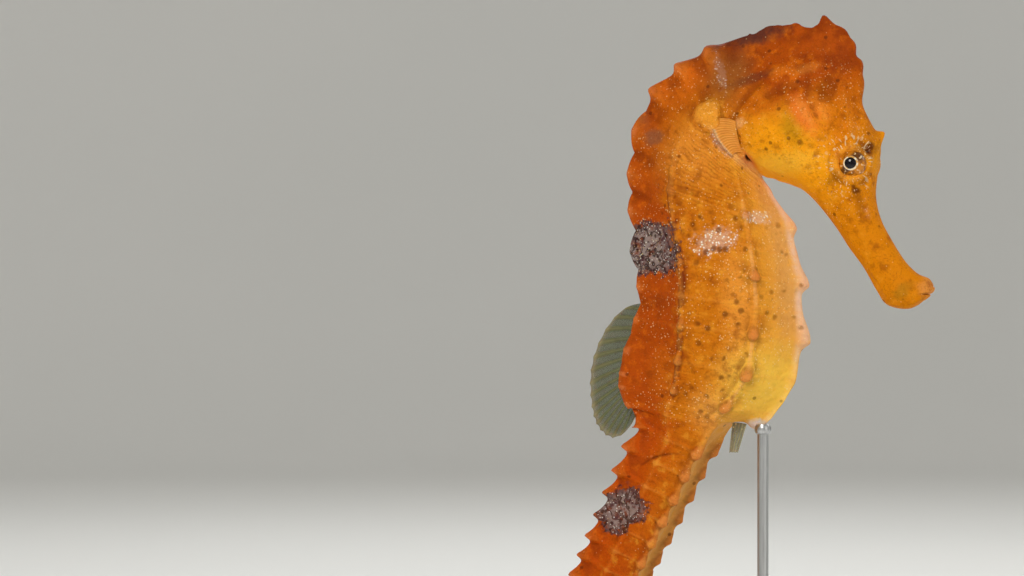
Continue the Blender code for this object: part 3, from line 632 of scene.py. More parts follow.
def make_skin():
    relief, points = skin_grid()
    mouth, mouth_tip = end_rows(points[0], points[6], 0.75, 9, slit=0.35)
    tip, tail_tip = end_rows(points[-1], points[-6], 0.7, 6)
    rows = [*mouth[::-1], *points, *tip]
    vertices = np.concatenate([np.reshape(rows, (-1, 3)), [mouth_tip, tail_tip]]) * MM
    mesh = bpy.data.meshes.new("skin")
    mesh.from_pydata(vertices.tolist(), [], skin_faces(len(rows), points.shape[1]))
    kept = {
        "ring": relief.ring,
        "around": relief.side,
        "along": relief.along,
        "knob": relief.knob,
        # where the material paints shade into the colour
        "hollow": relief.hollow,
        # the small relief, from which the material paints shade in grooves and a highlight on
        # crests
        "high": relief.lift - blurred(relief.lift, 4),
    }
    for name, grid in kept.items():
        grid = np.broadcast_to(grid, points.shape[:2])
        ends = np.repeat(grid[:1], len(mouth), 0), np.repeat(grid[-1:], len(tip), 0)
        full = np.concatenate([ends[0], grid, ends[1]])
        keep_values(mesh, name, np.concatenate([full.ravel(), [full[0].mean(), full[-1].mean()]]))
    skin = finished_object(mesh, "skin")
    thin(skin, SKIN_TRIANGLES)
    return skin


# ---- meshes and modifiers -------------------------------------------------

def placed(name, data):
    """A new object in the scene that holds data."""
    obj = bpy.data.objects.new(name, data)
    bpy.context.scene.collection.objects.link(obj)
    return obj


def mesh_from(shape, name):
    mesh = bpy.data.meshes.new(name)
    shape.to_mesh(mesh)
    shape.free()
    return mesh


def turned(name, profile, steps, x=0.0):
    """A mesh turned round an upright axis at x, from (distance, height) pairs."""
    shape = bmesh.new()
    points = [shape.verts.new((x * MM + reach * MM, 0, z * MM)) for reach, z in profile]
    edges = [shape.edges.new(pair) for pair in zip(points, points[1:])]
    axis = {"cent": (x * MM, 0, 0), "axis": (0, 0, 1)}
    bmesh.ops.spin(shape, geom=points + edges, steps=steps, angle=2 * math.pi, **axis)
    bmesh.ops.remove_doubles(shape, verts=shape.verts, dist=1e-6)
    return mesh_from(shape, name)


def finished_object(mesh, name, smooth=True):
    """An object whose faces all point outwards."""
    obj = placed(name, mesh)
    outside = bmesh.new()
    outside.from_mesh(mesh)
    bmesh.ops.recalc_face_normals(outside, faces=outside.faces)
    outside.to_mesh(mesh)
    outside.free()
    if smooth:
        mesh.shade_smooth()
    return obj


def keep_values(mesh, name, values):
    """Keeps one number a point on the mesh, for a material or a node tree to read."""
    kept = mesh.attributes.new(name, "FLOAT", "POINT")
    kept.data.foreach_set("value", np.ravel(values).astype(np.float32))


def apply_modifiers(obj):
    """Replaces obj's mesh with what its modifiers make of it."""
    bpy.context.view_layer.update()
    graph = bpy.context.evaluated_depsgraph_get()
    mesh = bpy.data.meshes.new_from_object(obj.evaluated_get(graph))
    obj.modifiers.clear()
    obj.data = mesh


def thin(obj, triangles):
    """Thins flat stretches, until the mesh has at most that many triangles."""
    count = sum(len(face.vertices) - 2 for face in obj.data.polygons)
    if count <= triangles:
        return
    modifier = obj.modifiers.new("thin", "DECIMATE")
    modifier.ratio = triangles / count
    modifier.use_collapse_triangulate = True
    apply_modifiers(obj)
    obj.data.shade_smooth()


def ride(obj, slot, *nodes):
    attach(obj, "root")
    if nodes:
        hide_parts(*nodes)


# ---- camera, light and stage ----------------------------------------------

VIEW_AZIMUTH = 22.5
VIEW_LENS, SENSOR = 100.0, 36.0
VIEW_DISTANCE = 469.33
VIEW_CENTRE = (-41.62, 0.0, 86.955)
FLOOR_SIZE, FLOOR_TURN, WALL_DISTANCE = 3000.0, 500.0, 900.0
FLOOR_TURN_STEPS, FLOOR_SIDES = 16, 96

#   name    azimuth, height in degrees, distance, size in mm, watts, colour
LIGHTS = (
    ("key", 2, 32, 640, 220, 1.98, (1.0, 0.96, 0.9)),
    ("fill", 66, 10, 700, 420, 0.4, (1.0, 0.97, 0.92)),
    ("rim_left", 205, 38, 620, 300, 1.0, (0.95, 0.98, 1.0)),
    ("rim_right", 128, 30, 620, 300, 0.5, (1.0, 0.98, 0.95)),
)
LAMP_AIM = (0, 0, 95)
ROOM_WATTS, ROOM_LAMP_RADIUS, ROOM_LAMP_HEIGHT = 9.0, 300.0, 1000.0
WORLD_COLOUR, WORLD_STRENGTH = (0.93, 0.93, 0.92, 1.0), 0.24


def add_camera():
    data = bpy.data.cameras.new("camera")
    data.lens = VIEW_LENS
    data.sensor_width = SENSOR
    data.clip_start, data.clip_end = 0.01, 20
    camera = placed("camera", data)
    turn = math.radians(VIEW_AZIMUTH)
    back = Vector((math.sin(turn), -math.cos(turn), 0))
    camera.location = (Vector(VIEW_CENTRE) + back * VIEW_DISTANCE) * MM
    camera.rotation_euler = (-back).to_track_quat("-Z", "Y").to_euler()
    bpy.context.scene.camera = camera


def add_floor():
    """A pale floor that turns up into a pale wall on every side."""
    profile = [(0.0, 0.0), (WALL_DISTANCE, 0.0)]
    for i in range(1, FLOOR_TURN_STEPS + 1):
        angle = math.pi / 2 * i / FLOOR_TURN_STEPS
        reach = WALL_DISTANCE + FLOOR_TURN * math.sin(angle)
        profile.append((reach, FLOOR_TURN * (1 - math.cos(angle))))
    profile.append((WALL_DISTANCE + FLOOR_TURN, FLOOR_SIZE))
    floor = placed("floor", turned("floor", profile, FLOOR_SIDES))
    floor.data.shade_smooth()
    floor.data.materials.append(floor_material())
    return floor


def link_light(lamp, name, obj, state):
    """Makes a lamp light only obj, or all but obj where the state is EXCLUDE."""
    receivers = bpy.data.collections.new(name)
    receivers.objects.link(obj)
    receivers.collection_objects[0].light_linking.link_state = state
    lamp.light_linking.receiver_collection = receivers


def add_lamp(name, azimuth, height, distance, size, watts, colour):
    """A soft round lamp turned towards the animal."""
    a, e = math.radians(azimuth), math.radians(height)
    away = Vector((math.sin(a) * math.cos(e), -math.cos(a) * math.cos(e), math.sin(e)))
    data = bpy.data.lights.new(name, "AREA")
    data.shape = "DISK"
    data.size = size * MM
    data.energy = watts
    data.color = colour
    lamp = placed(name, data)
    lamp.location = (Vector(LAMP_AIM) + away * distance) * MM
    lamp.rotation_euler = (-away).to_track_quat("-Z", "Y").to_euler()
    return lamp


def add_lights(floor):
    """The lamps round the animal, one that lights only the floor, and the world."""
    for row in LIGHTS:
        lamp = add_lamp(*row)
        if lamp.name == "fill":
            link_light(lamp, "not_lit_by_fill", floor, "EXCLUDE")
    data = bpy.data.lights.new("room", "POINT")
    data.energy, data.shadow_soft_size = ROOM_WATTS, ROOM_LAMP_RADIUS * MM
    room = placed("room", data)
    room.location = (0, 0, ROOM_LAMP_HEIGHT * MM)
    link_light(room, "lit_by_room_lamp", floor, "INCLUDE")
    world = bpy.data.worlds.new("world")
    world.use_nodes = True
    background = world.node_tree.nodes["Background"]
    background.inputs["Color"].default_value = WORLD_COLOUR
    background.inputs["Strength"].default_value = WORLD_STRENGTH
    bpy.context.scene.world = world
    bpy.context.scene.view_settings.view_transform = "Standard"


# ---- materials ------------------------------------------------------------

def rgb(red, green, blue):
    """A colour given as 0 to 255, made linear."""
    parts = [value / 255 for value in (red, green, blue)]
    return tuple(p / 12.92 if p <= 0.04045 else ((p + 0.055) / 1.055) ** 2.4 for p in parts)


class Wire:
    """The output of a shader node, which Python's operators work on."""

    def __init__(self, maker, socket):
        self.maker = maker
        self.socket = socket

    def math(self, operation, *others):
        values = dict(enumerate((self, *others)))
        return self.maker.node("Math", values, operation=operation)

    def flipped(self, operation, other):
        return self.maker.node("Math", {0: other, 1: self}, operation=operation)

    def __add__(self, other):
        return self.math("ADD", other)

    def __sub__(self, other):
        return self.math("SUBTRACT", other)

    def __mul__(self, other):
        return self.math("MULTIPLY", other)

    def __truediv__(self, other):
        return self.math("DIVIDE", other)

    def __pow__(self, other):
        return self.math("POWER", other)

    def __rsub__(self, other):
        return self.flipped("SUBTRACT", other)

    def __rtruediv__(self, other):
        return self.flipped("DIVIDE", other)

    def __abs__(self):
        return self.math("ABSOLUTE")

    __radd__, __rmul__ = __add__, __mul__

    def most(self, other):
        return self.math("MAXIMUM", other)

    def least(self, other):
        return self.math("MINIMUM", other)

    def sin(self):
        return self.math("SINE")

    def step(self, low, high):
        """0 below low, 1 above high, smooth between. Low may be above high."""
        if low > high:
            return 1 - self.step(high, low)
        ends = {"Value": self, "From Min": low, "From Max": high}
        return self.maker.node("MapRange", ends, interpolation_type="SMOOTHSTEP")


def feed(tree, socket, value):
    """Links a socket to the output that is given, or sets its own value."""
    if isinstance(value, Wire):
        value = value.socket
    if isinstance(value, bpy.types.NodeSocket):
        tree.links.new(value, socket)
    elif isinstance(value, tuple) and len(value) == 3 and socket.type == "RGBA":
        socket.default_value = (*value, 1)
    else:
        socket.default_value = value


def add_node(tree, kind, inputs, settings):
    """A node with its settings made first, then the values or links of its sockets."""
    made = tree.nodes.new(kind)
    for name, value in settings.items():
        setattr(made, name, value)
    for name, value in inputs.items():
        feed(tree, made.inputs[name], value)
    return made


class Finish:
    """A material in the making, round one Principled shader."""

    def __init__(self, name, **constants):
        self.material = bpy.data.materials.new(name)
        self.material.use_nodes = True
        self.tree = self.material.node_tree
        self.shader = self.tree.nodes["Principled BSDF"]
        self.put(constants)
        place = self.node("TexCoord", {}, output="Object")
        self.place = self.node("VectorMath", {0: place, "Scale": 1 / MM}, operation="SCALE")
        self.x, self.y, self.z = self.split(self.place)

    def put(self, channels):
        for name, value in channels.items():
            feed(self.tree, self.shader.inputs[name.replace("_", " ")], value)

    def node(self, kind, inputs, output=0, **settings):
        made = add_node(self.tree, "ShaderNode" + kind, inputs, settings)
        return Wire(self, made.outputs[output])

    def split(self, vector):
        made = self.node("SeparateXYZ", {0: vector}).socket.node
        return [Wire(self, socket) for socket in made.outputs]

    def attribute(self, name):
        """The number that the mesh keeps at each point under that name."""
        return self.node("Attribute", {}, output="Fac", attribute_name=name)

    def stretched(self, sizes):
        """The place, with each axis scaled for a pattern with a grain."""
        return self.node("VectorMath", {0: self.place, 1: sizes}, operation="MULTIPLY")

    def noise(self, scale, detail=2.0, place=None, rough=0.5):
        inputs = {"Vector": place or self.place, "Scale": scale, "Detail": detail}
        return self.node("TexNoise", {**inputs, "Roughness": rough})

    def cells(self, scale):
        """Distance from the middle of the nearest of many scattered cells."""
        return self.node("TexVoronoi", {"Vector": self.place, "Scale": scale}, output="Distance")

    def mix(self, first, second, factor):
        values = {0: factor, 6: first, 7: second}
        return self.node("Mix", values, output=2, data_type="RGBA")

    def away(self, x, z, length, width, turn=0.0, square=False):
        """Distance from a point of the side view, 1 at an ellipse round it, or at
        an oblong with round corners."""
        c, s = math.cos(math.radians(turn)), math.sin(math.radians(turn))
        dx, dz = self.x - x, self.z - z
        u = (dx * c + dz * s) / length
        v = (dz * c - dx * s) / width
        if square:
            return ((u * u) ** 2 + (v * v) ** 2) ** 0.25
        return (u * u + v * v).math("SQRT")

    def finish(self, **channels):
        """Links the channels that vary. Height is relief in mm, turned into a bump."""
        height = channels.pop("Height", None)
        if height is not None:
            inputs = {"Height": height, "Distance": MM, "Strength": 1.0}
            channels["Normal"] = self.node("Bump", inputs, output="Normal")
        self.put(channels)
        return self.material


# The skin's ground colours, from the back to the belly and from head to tail.
BACK_ORANGE, FLANK_ORANGE, BELLY_YELLOW = rgb(182, 75, 0), rgb(212, 121, 8), rgb(242, 168, 54)
PALE_YELLOW, BELLY_SHADE, KEEL_PINK = rgb(250, 204, 136), rgb(204, 138, 66), rgb(238, 202, 178)
CROWN_ORANGE, CROWN_SHADE, CROWN_LIGHT = rgb(180, 77, 0), rgb(140, 52, 0), rgb(222, 112, 6)
CHEEK_YELLOW, SNOUT_YELLOW = rgb(252, 164, 12), rgb(222, 133, 0)
TAIL_ORANGE, VENTRAL_CREAM = rgb(196, 80, 0), rgb(228, 164, 82)
# Marks of the ridges, rings, knobs and clouds, with painted shade in grooves, hollows and wrinkles
# and a painted highlight on crests.
RIDGE_DARK, RIDGE_PALE, RING_YELLOW = rgb(110, 30, 6), rgb(250, 186, 120), rgb(240, 158, 60)
KNOB_RED_AND_SHADE, KNOB_TIP, RIM_PINK = rgb(150, 52, 18), rgb(228, 130, 66), rgb(236, 140, 84)
GROOVE_SHADE, CREST_HIGHLIGHT, HOLLOW_SHADE = rgb(118, 40, 0), rgb(250, 170, 70), rgb(40, 14, 6)
BACK_LIGHT, CLOUD_BROWN, CLOUD_YELLOW = rgb(224, 112, 12), rgb(140, 58, 0), rgb(250, 176, 50)
WRINKLE_SHADE, GRAIN_BROWN = rgb(150, 66, 0), rgb(120, 48, 0)
# Saddles, frosted patches, spots and dots.
SADDLE_GREY, SADDLE_DARK = rgb(154, 138, 132), rgb(36, 18, 16)
SADDLE_PURPLE, SADDLE_BROWN, FLECK_WHITE = rgb(84, 58, 60), rgb(128, 70, 48), rgb(250, 246, 238)
FROST_PINK, FROST_WHITE = rgb(226, 202, 184), rgb(255, 250, 238)
SPOT_BROWN, SPOT_OLIVE = rgb(88, 34, 4), rgb(140, 78, 6)
DOT_WHITE, STREAK_WHITE = rgb(255, 222, 158), rgb(244, 216, 170)
# Patches of the head and the body.
NAPE_GREY, NAPE_DARK = rgb(124, 84, 40), rgb(74, 40, 36)
TIP_PINK, OLIVE, BLUSH = rgb(226, 166, 108), rgb(150, 110, 20), rgb(242, 112, 44)
GREENISH, BRIGHT_YELLOW = rgb(186, 134, 6), rgb(255, 196, 62)

SMALL_PATCH = 2.5  # mm wide
#   x, z, length, width, turn, colour, strength, softness
HEAD_PATCHES = (
    (8.2, 109.4, 8.5, 5.2, 10, CHEEK_YELLOW, 0.8, 0.6),
    (5.6, 106.4, 6.0, 1.8, 6, BRIGHT_YELLOW, 0.6, 0.7),
    (16.0, 113.5, 3.0, 6.0, 0, rgb(206, 100, 0), 0.6, 0.7),
    (8.6, 111.9, 1.7, 2.4, 20, GREENISH, 0.7, 0.7),
    (10.3, 113.9, 3.2, 1.5, -60, BLUSH, 0.7, 0.75),
    (12.6, 114.8, 2.2, 1.1, -60, rgb(244, 136, 40), 0.7, 0.75),
    (-3.2, 121.0, 3.4, 4.4, 0, NAPE_GREY, 0.55, 0.6),
    (2.4, 117.0, 3.2, 1.7, -35, rgb(224, 118, 8), 0.75, 0.8),
    (19.9, 111.2, 1.3, 2.4, 0, rgb(158, 72, 6), 0.5, 0.7),
    (0.9, 120.0, 3.2, 0.8, 18, NAPE_DARK, 0.55, 0.6),
    (19.2, 108.4, 1.5, 1.2, 30, SPOT_BROWN, 0.6, 0.7),
    (14.9, 104.2, 1.5, 0.8, 35, SPOT_BROWN, 0.45, 0.7),
    (18.2, 100.4, 2.4, 0.6, -80, SPOT_BROWN, 0.35, 0.8),
    (17.9, 102.2, 0.55, 0.5, 0, SPOT_BROWN, 0.8, 0.5),
    (19.9, 109.1, 0.5, 0.6, 0, SPOT_BROWN, 0.8, 0.5),
    (9.75, 109.7, 0.42, 0.42, 0, SPOT_BROWN, 0.6, 0.6),
    (24.9, 86.5, 1.6, 1.0, 40, OLIVE, 0.5, 0.7),
    (28.8, 87.0, 1.3, 1.6, 45, TIP_PINK, 0.3, 0.6),
    (0.4, 107.2, 1.3, 1.0, -68, rgb(226, 120, 80), 0.6, 0.6),
)
BODY_PATCHES = (
    (-1.0, 127.2, 6.0, 1.7, 9, NAPE_DARK, 0.85, 0.5),
    (-9.8, 123.6, 2.6, 1.3, 28, NAPE_DARK, 0.7, 0.5),
    (-17.6, 115.5, 0.9, 3.0, 25, rgb(150, 84, 44), 0.6, 0.6),
    # a lighter patch on the neck, partly its own tone and partly a painted highlight
    (-6.5, 108.6, 6.0, 4.6, 20, rgb(244, 160, 58), 0.5, 0.8),
    (-10.4, 121.0, 4.0, 3.0, 40, rgb(222, 108, 8), 0.65, 0.8),
    (-4.9, 114.6, 2.4, 2.1, 100, rgb(240, 160, 40), 0.7, 0.4),
    (-0.2, 112.9, 0.9, 0.8, 0, TIP_PINK, 0.6, 0.5),
    (-0.9, 107.3, 3.6, 0.55, -48, rgb(250, 196, 130), 0.4, 0.7),
    (-3.6, 110.4, 2.0, 0.5, -60, rgb(248, 200, 140), 0.3, 0.7),
    (-0.2, 85.0, 2.4, 7.0, 4, rgb(252, 170, 66), 0.6, 0.8),
    (-0.8, 74.0, 2.2, 4.0, 0, rgb(248, 164, 66), 0.4, 0.8),
    (-4.9, 67.2, 3.2, 3.0, -30, rgb(242, 176, 84), 0.6, 0.8),
    (-14.9, 111.0, 1.7, 1.3, 10, rgb(126, 84, 60), 0.65, 0.5),
    (3.0, 71.5, 6.0, 6.0, 0, rgb(255, 204, 78), 0.9, 0.7),
    (0.8, 65.0, 1.5, 1.0, 0, rgb(206, 206, 210), 0.9, 0.5),
    (-12.2, 72.8, 2.6, 4.0, 0, rgb(216, 112, 8), 0.6, 0.8),
)
#   x, z, length, width, turn, strength
SADDLES = (
    (-15.7, 93.1, 5.9, 4.1, 4, 1.0),
    (-21.0, 51.3, 4.1, 3.3, 25, 0.95),
    (-12.2, 17.0, 4.0, 3.3, 0, 0.9),
)
FROSTED = (
    (-4.0, 94.4, 3.8, 2.1, 14, 1.0),
    (2.3, 98.1, 1.7, 1.2, 0, 1.0),
    (-3.4, 109.6, 2.4, 0.9, -55, 0.5),
    (-4.2, 121.0, 3.4, 0.8, -73, 0.3),
    (19.6, 98.6, 1.2, 0.8, -60, 0.5),
)


def near_line(value, place, width):
    """1 where the value is place, 0 where it is more than width away from it."""
    return abs(value - place).step(width, width * 0.3)


def add_patches(m, colour, patches, uneven, ragged):
    """Soft patches with uneven edges, more ragged round the small ones."""
    for x, z, length, width, turn, tint, strength, soft in patches:
        edge = uneven * 0.35 + ragged * (1.1 if width < SMALL_PATCH else 0.5)
        away = m.away(x, z, length, width, turn) + edge
        colour = m.mix(colour, tint, away.step(1 + soft, 1 - soft) * strength)
    return colour


def head_colour(m, uneven):
    """Deep orange above, yellow on the cheek, the throat and the snout."""
    clouds = (m.noise(0.22, 3.0) + m.z * 0.01).step(1.66, 1.82)
    top = m.mix(CROWN_ORANGE, CROWN_SHADE, clouds * 0.75)
    top = m.mix(top, CROWN_LIGHT, m.noise(0.4, 3.0).step(0.5, 0.66) * 0.7)
    low = (m.z - m.x * 0.25 + uneven * 6).step(118, 104)
    snout = (m.z * 0.9 - m.x * 0.45 + uneven * 2).step(90.0, 82.0)
    return m.mix(m.mix(top, CHEEK_YELLOW, low), SNOUT_YELLOW, snout)


def eye_marks(m, colour):
    """White streaks that spread from the eye, broken into dashes."""
    dx, dz = m.x - EYE_CENTRE[0], m.z - EYE_CENTRE[2]
    away = (dx * dx + dz * dz).math("SQRT")
    angle = dz.math("ARCTAN2", dx)
    spread = m.node("CombineXYZ", {0: angle * 11.5, 1: away * 1.1, 2: m.y * 0.05})
    dashes = m.noise(1.0, 0.0, spread).step(0.61, 0.68) * m.noise(0.5, 1.0).step(0.36, 0.5)
    zone = away.step(2.3, 2.7) * away.step(6.4, 3.4)
    dots = m.cells(1.7).step(0.2, 0.12) * away.step(2.2, 2.6) * away.step(7.5, 4.0)
    beside = abs(m.y).step(1.7, 2.6)
    return m.mix(colour, STREAK_WHITE, (dashes * zone).most(dots) * beside * 0.85)


def body_colour(m, around, ring, uneven, ragged):
    """Deep orange on the back, lighter past the side ridge, yellow on the belly."""
    place = around + uneven * 0.9 + ragged * 0.35
    sharp, soft = place.step(1.78, 2.18), place.step(0.5, 2.6)
    colour = m.mix(BACK_ORANGE, FLANK_ORANGE, sharp + (soft - sharp) * ring.step(6.0, 2.5))
    colour = m.mix(colour, BELLY_YELLOW, place.step(2.7, 3.25) * 0.8)
    pale = around.step(3.2, 3.85) * m.z.step(72, 86)
    colour = m.mix(colour, PALE_YELLOW, pale * 0.42)
    flank = place.step(1.4, 2.9) * ring.step(22.0, 14.0)
    tail_colour = m.mix(TAIL_ORANGE, FLANK_ORANGE, flank * 0.8)
    tail_colour = m.mix(tail_colour, VENTRAL_CREAM, (around + uneven * 0.5).step(2.75, 3.3))
    tail = ring.step(12.0, 14.5)
    trunk = tail.step(0.5, 0.0)
    colour = m.mix(colour, tail_colour, tail)
    # Painted shade in a band beside the keel, where the belly turns away from the lamps.
    colour = m.mix(colour, BELLY_SHADE, near_line(around, 3.68, 0.3) * trunk * 0.35)
    return m.mix(colour, KEEL_PINK, around.step(3.8, 3.97) * trunk * 0.85)


def ridge_marks(m, colour, around, ring, knob, uneven):
    """The dark broken line of the side ridge, the pale lower one, knobs and rings."""
    trunk = ring.step(3.6, 5.4) * ring.step(12.5, 11.0)
    broken = m.noise(0.62, 2.0).step(0.4, 0.52)
    dark = near_line(around + uneven * 0.16, 2.0, 0.09) * trunk * broken
    colour = m.mix(colour, RIDGE_DARK, dark * 0.85)
    pale = near_line(around, 3.0, 0.035) * trunk * (uneven * 3 + 0.5).step(0.1, 0.7)
    colour = m.mix(colour, RIDGE_PALE, pale * 0.45)
    from_ring = abs((ring + 0.5).math("FRACT") - 0.5)
    rings = near_line(from_ring, 0.0, 0.08) * ring.step(3.0, 5.0) * around.step(1.6, 2.2)
    colour = m.mix(colour, RING_YELLOW, rings * 0.16)
    # The knobs' own red-brown, with painted shade on their slopes, then their lighter tips.
    colour = m.mix(colour, KNOB_RED_AND_SHADE, knob.step(0.1, 0.5) * 0.45)
    colour = m.mix(colour, KNOB_TIP, knob.step(0.5, 0.95) * 0.6)
    rim = near_line(around, 1.0, 0.12) * from_ring.step(0.2, 0.04)
    return m.mix(colour, RIM_PINK, rim * ring.step(0.5, 1.5) * 0.35)


def saddles(m, colour, uneven, ragged):
    """Grey-purple patches, pale inside, with dark channels, pits and white flecks."""
    pits = (m.cells(0.85) + m.noise(2.2, 2.0) * 0.4).step(0.56, 0.42)
    channels = near_line(m.noise(0.5, 2.0), 0.5, 0.045)
    pale = m.noise(1.0, 3.0, rough=0.6).step(0.38, 0.56)
    fleck = m.cells(1.9).step(0.23, 0.14)
    under = m.mix(SADDLE_PURPLE, SADDLE_BROWN, m.noise(0.9, 2.0).step(0.45, 0.7))
    for x, z, length, width, turn, strength in SADDLES:
        away = m.away(x, z, length, width, turn, square=True)
        away = away + uneven * 0.7 + ragged * 1.1
        tone = m.mix(under, SADDLE_GREY, pale * away.step(1.05, 0.6) * 0.85)
        tone = m.mix(tone, SADDLE_DARK, pits.most(channels) * 0.8)
        tone = m.mix(tone, FLECK_WHITE, fleck * 0.75)
        colour = m.mix(colour, tone, away.step(1.1, 0.88) * strength)
    return colour


def frosted(m, colour, ragged):
    """White grains that lie close together in small cloudy patches."""
    grains = (m.cells(2.2) + ragged * 0.2).step(0.4, 0.2)
    for x, z, length, width, turn, strength in FROSTED:
        away = m.away(x, z, length, width, turn) + ragged * 2.2
        cloud = away.step(1.2, 0.35) * abs(m.y).step(1.5, 3.5)
        colour = m.mix(colour, FROST_PINK, cloud * strength * 0.4)
        white = cloud.step(0.05, 0.5) * grains
        colour = m.mix(colour, FROST_WHITE, white * strength * 0.9)
    return colour


def brown_spots(m, colour, around, ring):
    """Soft spots on the flank and the upper belly, and a few elsewhere."""
    zone = around.step(1.9, 2.4) * ring.step(4.0, 5.5) * ring.step(13.5, 11.5)
    zone = zone * (1 - around.step(2.9, 3.2) * m.z.step(82, 77) * 0.9)
    chosen = m.noise(0.33, 1.0).step(0.42, 0.54)
    spots = (m.cells(0.55) + m.noise(2.5, 1.0) * 0.08).step(0.42, 0.2) * zone * chosen
    tone = m.mix(SPOT_BROWN, SPOT_OLIVE, around.step(2.7, 3.1))
    colour = m.mix(colour, tone, spots * 0.66)
    return m.mix(colour, SPOT_BROWN, m.cells(0.34).step(0.14, 0.07) * (1 - zone) * 0.6)


def white_dots(m, colour, around, ring):
    """Tiny dots, in groups on the body and the head, and thin on the tail."""
    groups = m.noise(0.2, 1.0).step(0.36, 0.54)
    sizes = m.noise(0.8, 1.0) * 0.5 - 0.25
    fine = (m.cells(2.0) - sizes).step(0.23, 0.15) * groups
    off_cheek = m.away(9.0, 108.0, 8.5, 5.5, 10).step(0.8, 1.25) * 0.8 + 0.2
    where = ring.step(-10.0, -7.5) * ring.step(16.0, 11.5) * m.z.step(127, 117) * off_cheek
    where = where * (around.step(0.8, 1.9) * 0.45 + 0.55)
    sparse = m.cells(1.0).step(0.12, 0.07) * off_cheek
    return m.mix(colour, DOT_WHITE, (fine * where).most(sparse * 0.6) * 0.5)


def skin_material():
    m = Finish(
        "seahorse_skin",
        Subsurface_Weight=0.16,
        Subsurface_Radius=(1.0, 0.45, 0.1),
        Subsurface_Scale=0.0009,
        Specular_IOR_Level=0.08,
    )
    kept = ("ring", "around", "along", "knob", "hollow", "high")
    ring, around, along, knob, hollow, high = (m.attribute(name) for name in kept)
    uneven = m.noise(0.28, 3.0) - 0.5
    ragged = m.noise(1.0, 3.0, rough=0.6) - 0.5
    head = ring.step(0.8, -1.2)
    colour = m.mix(body_colour(m, around, ring, uneven, ragged), head_colour(m, uneven), head)
    colour = add_patches(m, colour, HEAD_PATCHES + BODY_PATCHES, uneven, ragged)
    colour = eye_marks(m, colour)
    colour = ridge_marks(m, colour, around, ring, knob, uneven)
    # Painted shade in the relief's small grooves and a painted highlight on its crests, then
    # clouds of lighter and darker skin.
    colour = m.mix(colour, GROOVE_SHADE, high.step(-0.02, -0.2) * around.step(3.5, 3.0) * 0.5)
    colour = m.mix(colour, CREST_HIGHLIGHT, high.step(0.04, 0.3) * around.step(0.6, 1.9) * 0.3)
    lighter = m.noise(0.7, 4.0, rough=0.6).step(0.5, 0.7) * around.step(2.0, 1.2)
    colour = m.mix(colour, BACK_LIGHT, lighter * ring.step(1.0, 3.0) * 0.5)
    clouds = m.noise(0.55, 4.0, rough=0.6)
    upper = around.step(3.3, 2.7) * 0.4 + 0.12
    colour = m.mix(colour, CLOUD_BROWN, clouds.step(0.5, 0.72) * upper)
    colour = m.mix(colour, CLOUD_YELLOW, clouds.step(0.48, 0.28) * around.step(1.5, 2.2) * 0.4)
    colour = saddles(m, colour, uneven, ragged)
    colour = frosted(m, colour, ragged)
    colour = brown_spots(m, colour, around, ring)
    colour = white_dots(m, colour, around, ring)
    # Painted shade in the hollows that the relief marked.
    colour = m.mix(colour, HOLLOW_SHADE, hollow * 0.95)
    # Fine wrinkles that run round the body, with painted shade in their troughs, and a leathery
    # grain.
    wrinkles = (along * 8.0 + m.noise(0.33, 3.0) * 16).sin()
    wrinkled = around.step(1.2, 1.8) * around.step(3.6, 3.1) * ring.step(0.5, 2.5)
    neck = m.away(-7.0, 104.5, 6.5, 5.0).step(1.5, 0.6) * m.noise(0.7, 1.0).step(0.36, 0.6)
    folded = wrinkles.step(0.1, -0.8) * wrinkled
    colour = m.mix(colour, WRINKLE_SHADE, folded * (neck * 0.26 + 0.07))
    grain = m.noise(3.4, 3.0, rough=0.6)
    colour = m.mix(colour, GRAIN_BROWN, grain.step(0.52, 0.72) * around.step(3.6, 2.6) * 0.35)
    height = wrinkles * wrinkled * (neck * 0.04 + 0.014) + grain * 0.11 - m.cells(2.6) * 0.06
    height = height + m.noise(1.1, 2.0) * 0.24
    rough = 0.42 + grain * 0.2 + clouds * 0.12
    return m.finish(Base_Color=colour, Roughness=rough, Height=height)


IRIS_GOLD, IRIS_BROWN, IRIS_DARK = rgb(214, 132, 16), rgb(142, 78, 10), rgb(70, 34, 10)
RING_WHITE, RING_TAN, PUPIL_BLACK = rgb(250, 234, 200), rgb(216, 160, 80), rgb(12, 4, 14)


def eye_material():
    """A black pupil, a white ring and a golden iris with pale rays."""
    m = Finish("eyeball", Coat_Weight=0.35, Coat_Roughness=0.02, Specular_IOR_Level=0.2)
    dx, dz = m.x - PUPIL[0], m.z - PUPIL[1]
    away = (dx * dx + dz * dz).math("SQRT") + (m.noise(2.0, 2.0) - 0.5) * 0.1
    angle = dz.math("ARCTAN2", dx)
    iris = m.mix(IRIS_GOLD, IRIS_BROWN, m.noise(1.6, 3.0).step(0.42, 0.66))
    above = m.away(18.7, 107.5, 1.3, 0.9, 35).step(1.5, 0.6)
    below = m.away(16.6, 105.2, 1.0, 0.6, 35).step(1.5, 0.6)
    iris = m.mix(iris, IRIS_DARK, above.most(below) * 0.85)
    rays = (angle * 9 + m.noise(1.2, 1.0) * 5).sin().step(0.7, 0.97)
    rays = rays * m.noise(2.4, 1.0).step(0.42, 0.55)
    iris = m.mix(iris, STREAK_WHITE, rays * away.step(1.25, 1.5) * 0.8)
    ring = m.mix(RING_WHITE, RING_TAN, m.noise(2.2, 2.0).step(0.44, 0.62))
    colour = m.mix(ring, iris, away.step(1.04, 1.2))
    colour = m.mix(PUPIL_BLACK, colour, away.step(0.86, 0.93))
    return m.finish(Base_Color=colour, Roughness=away.step(0.6, 1.2) * 0.2 + 0.08)


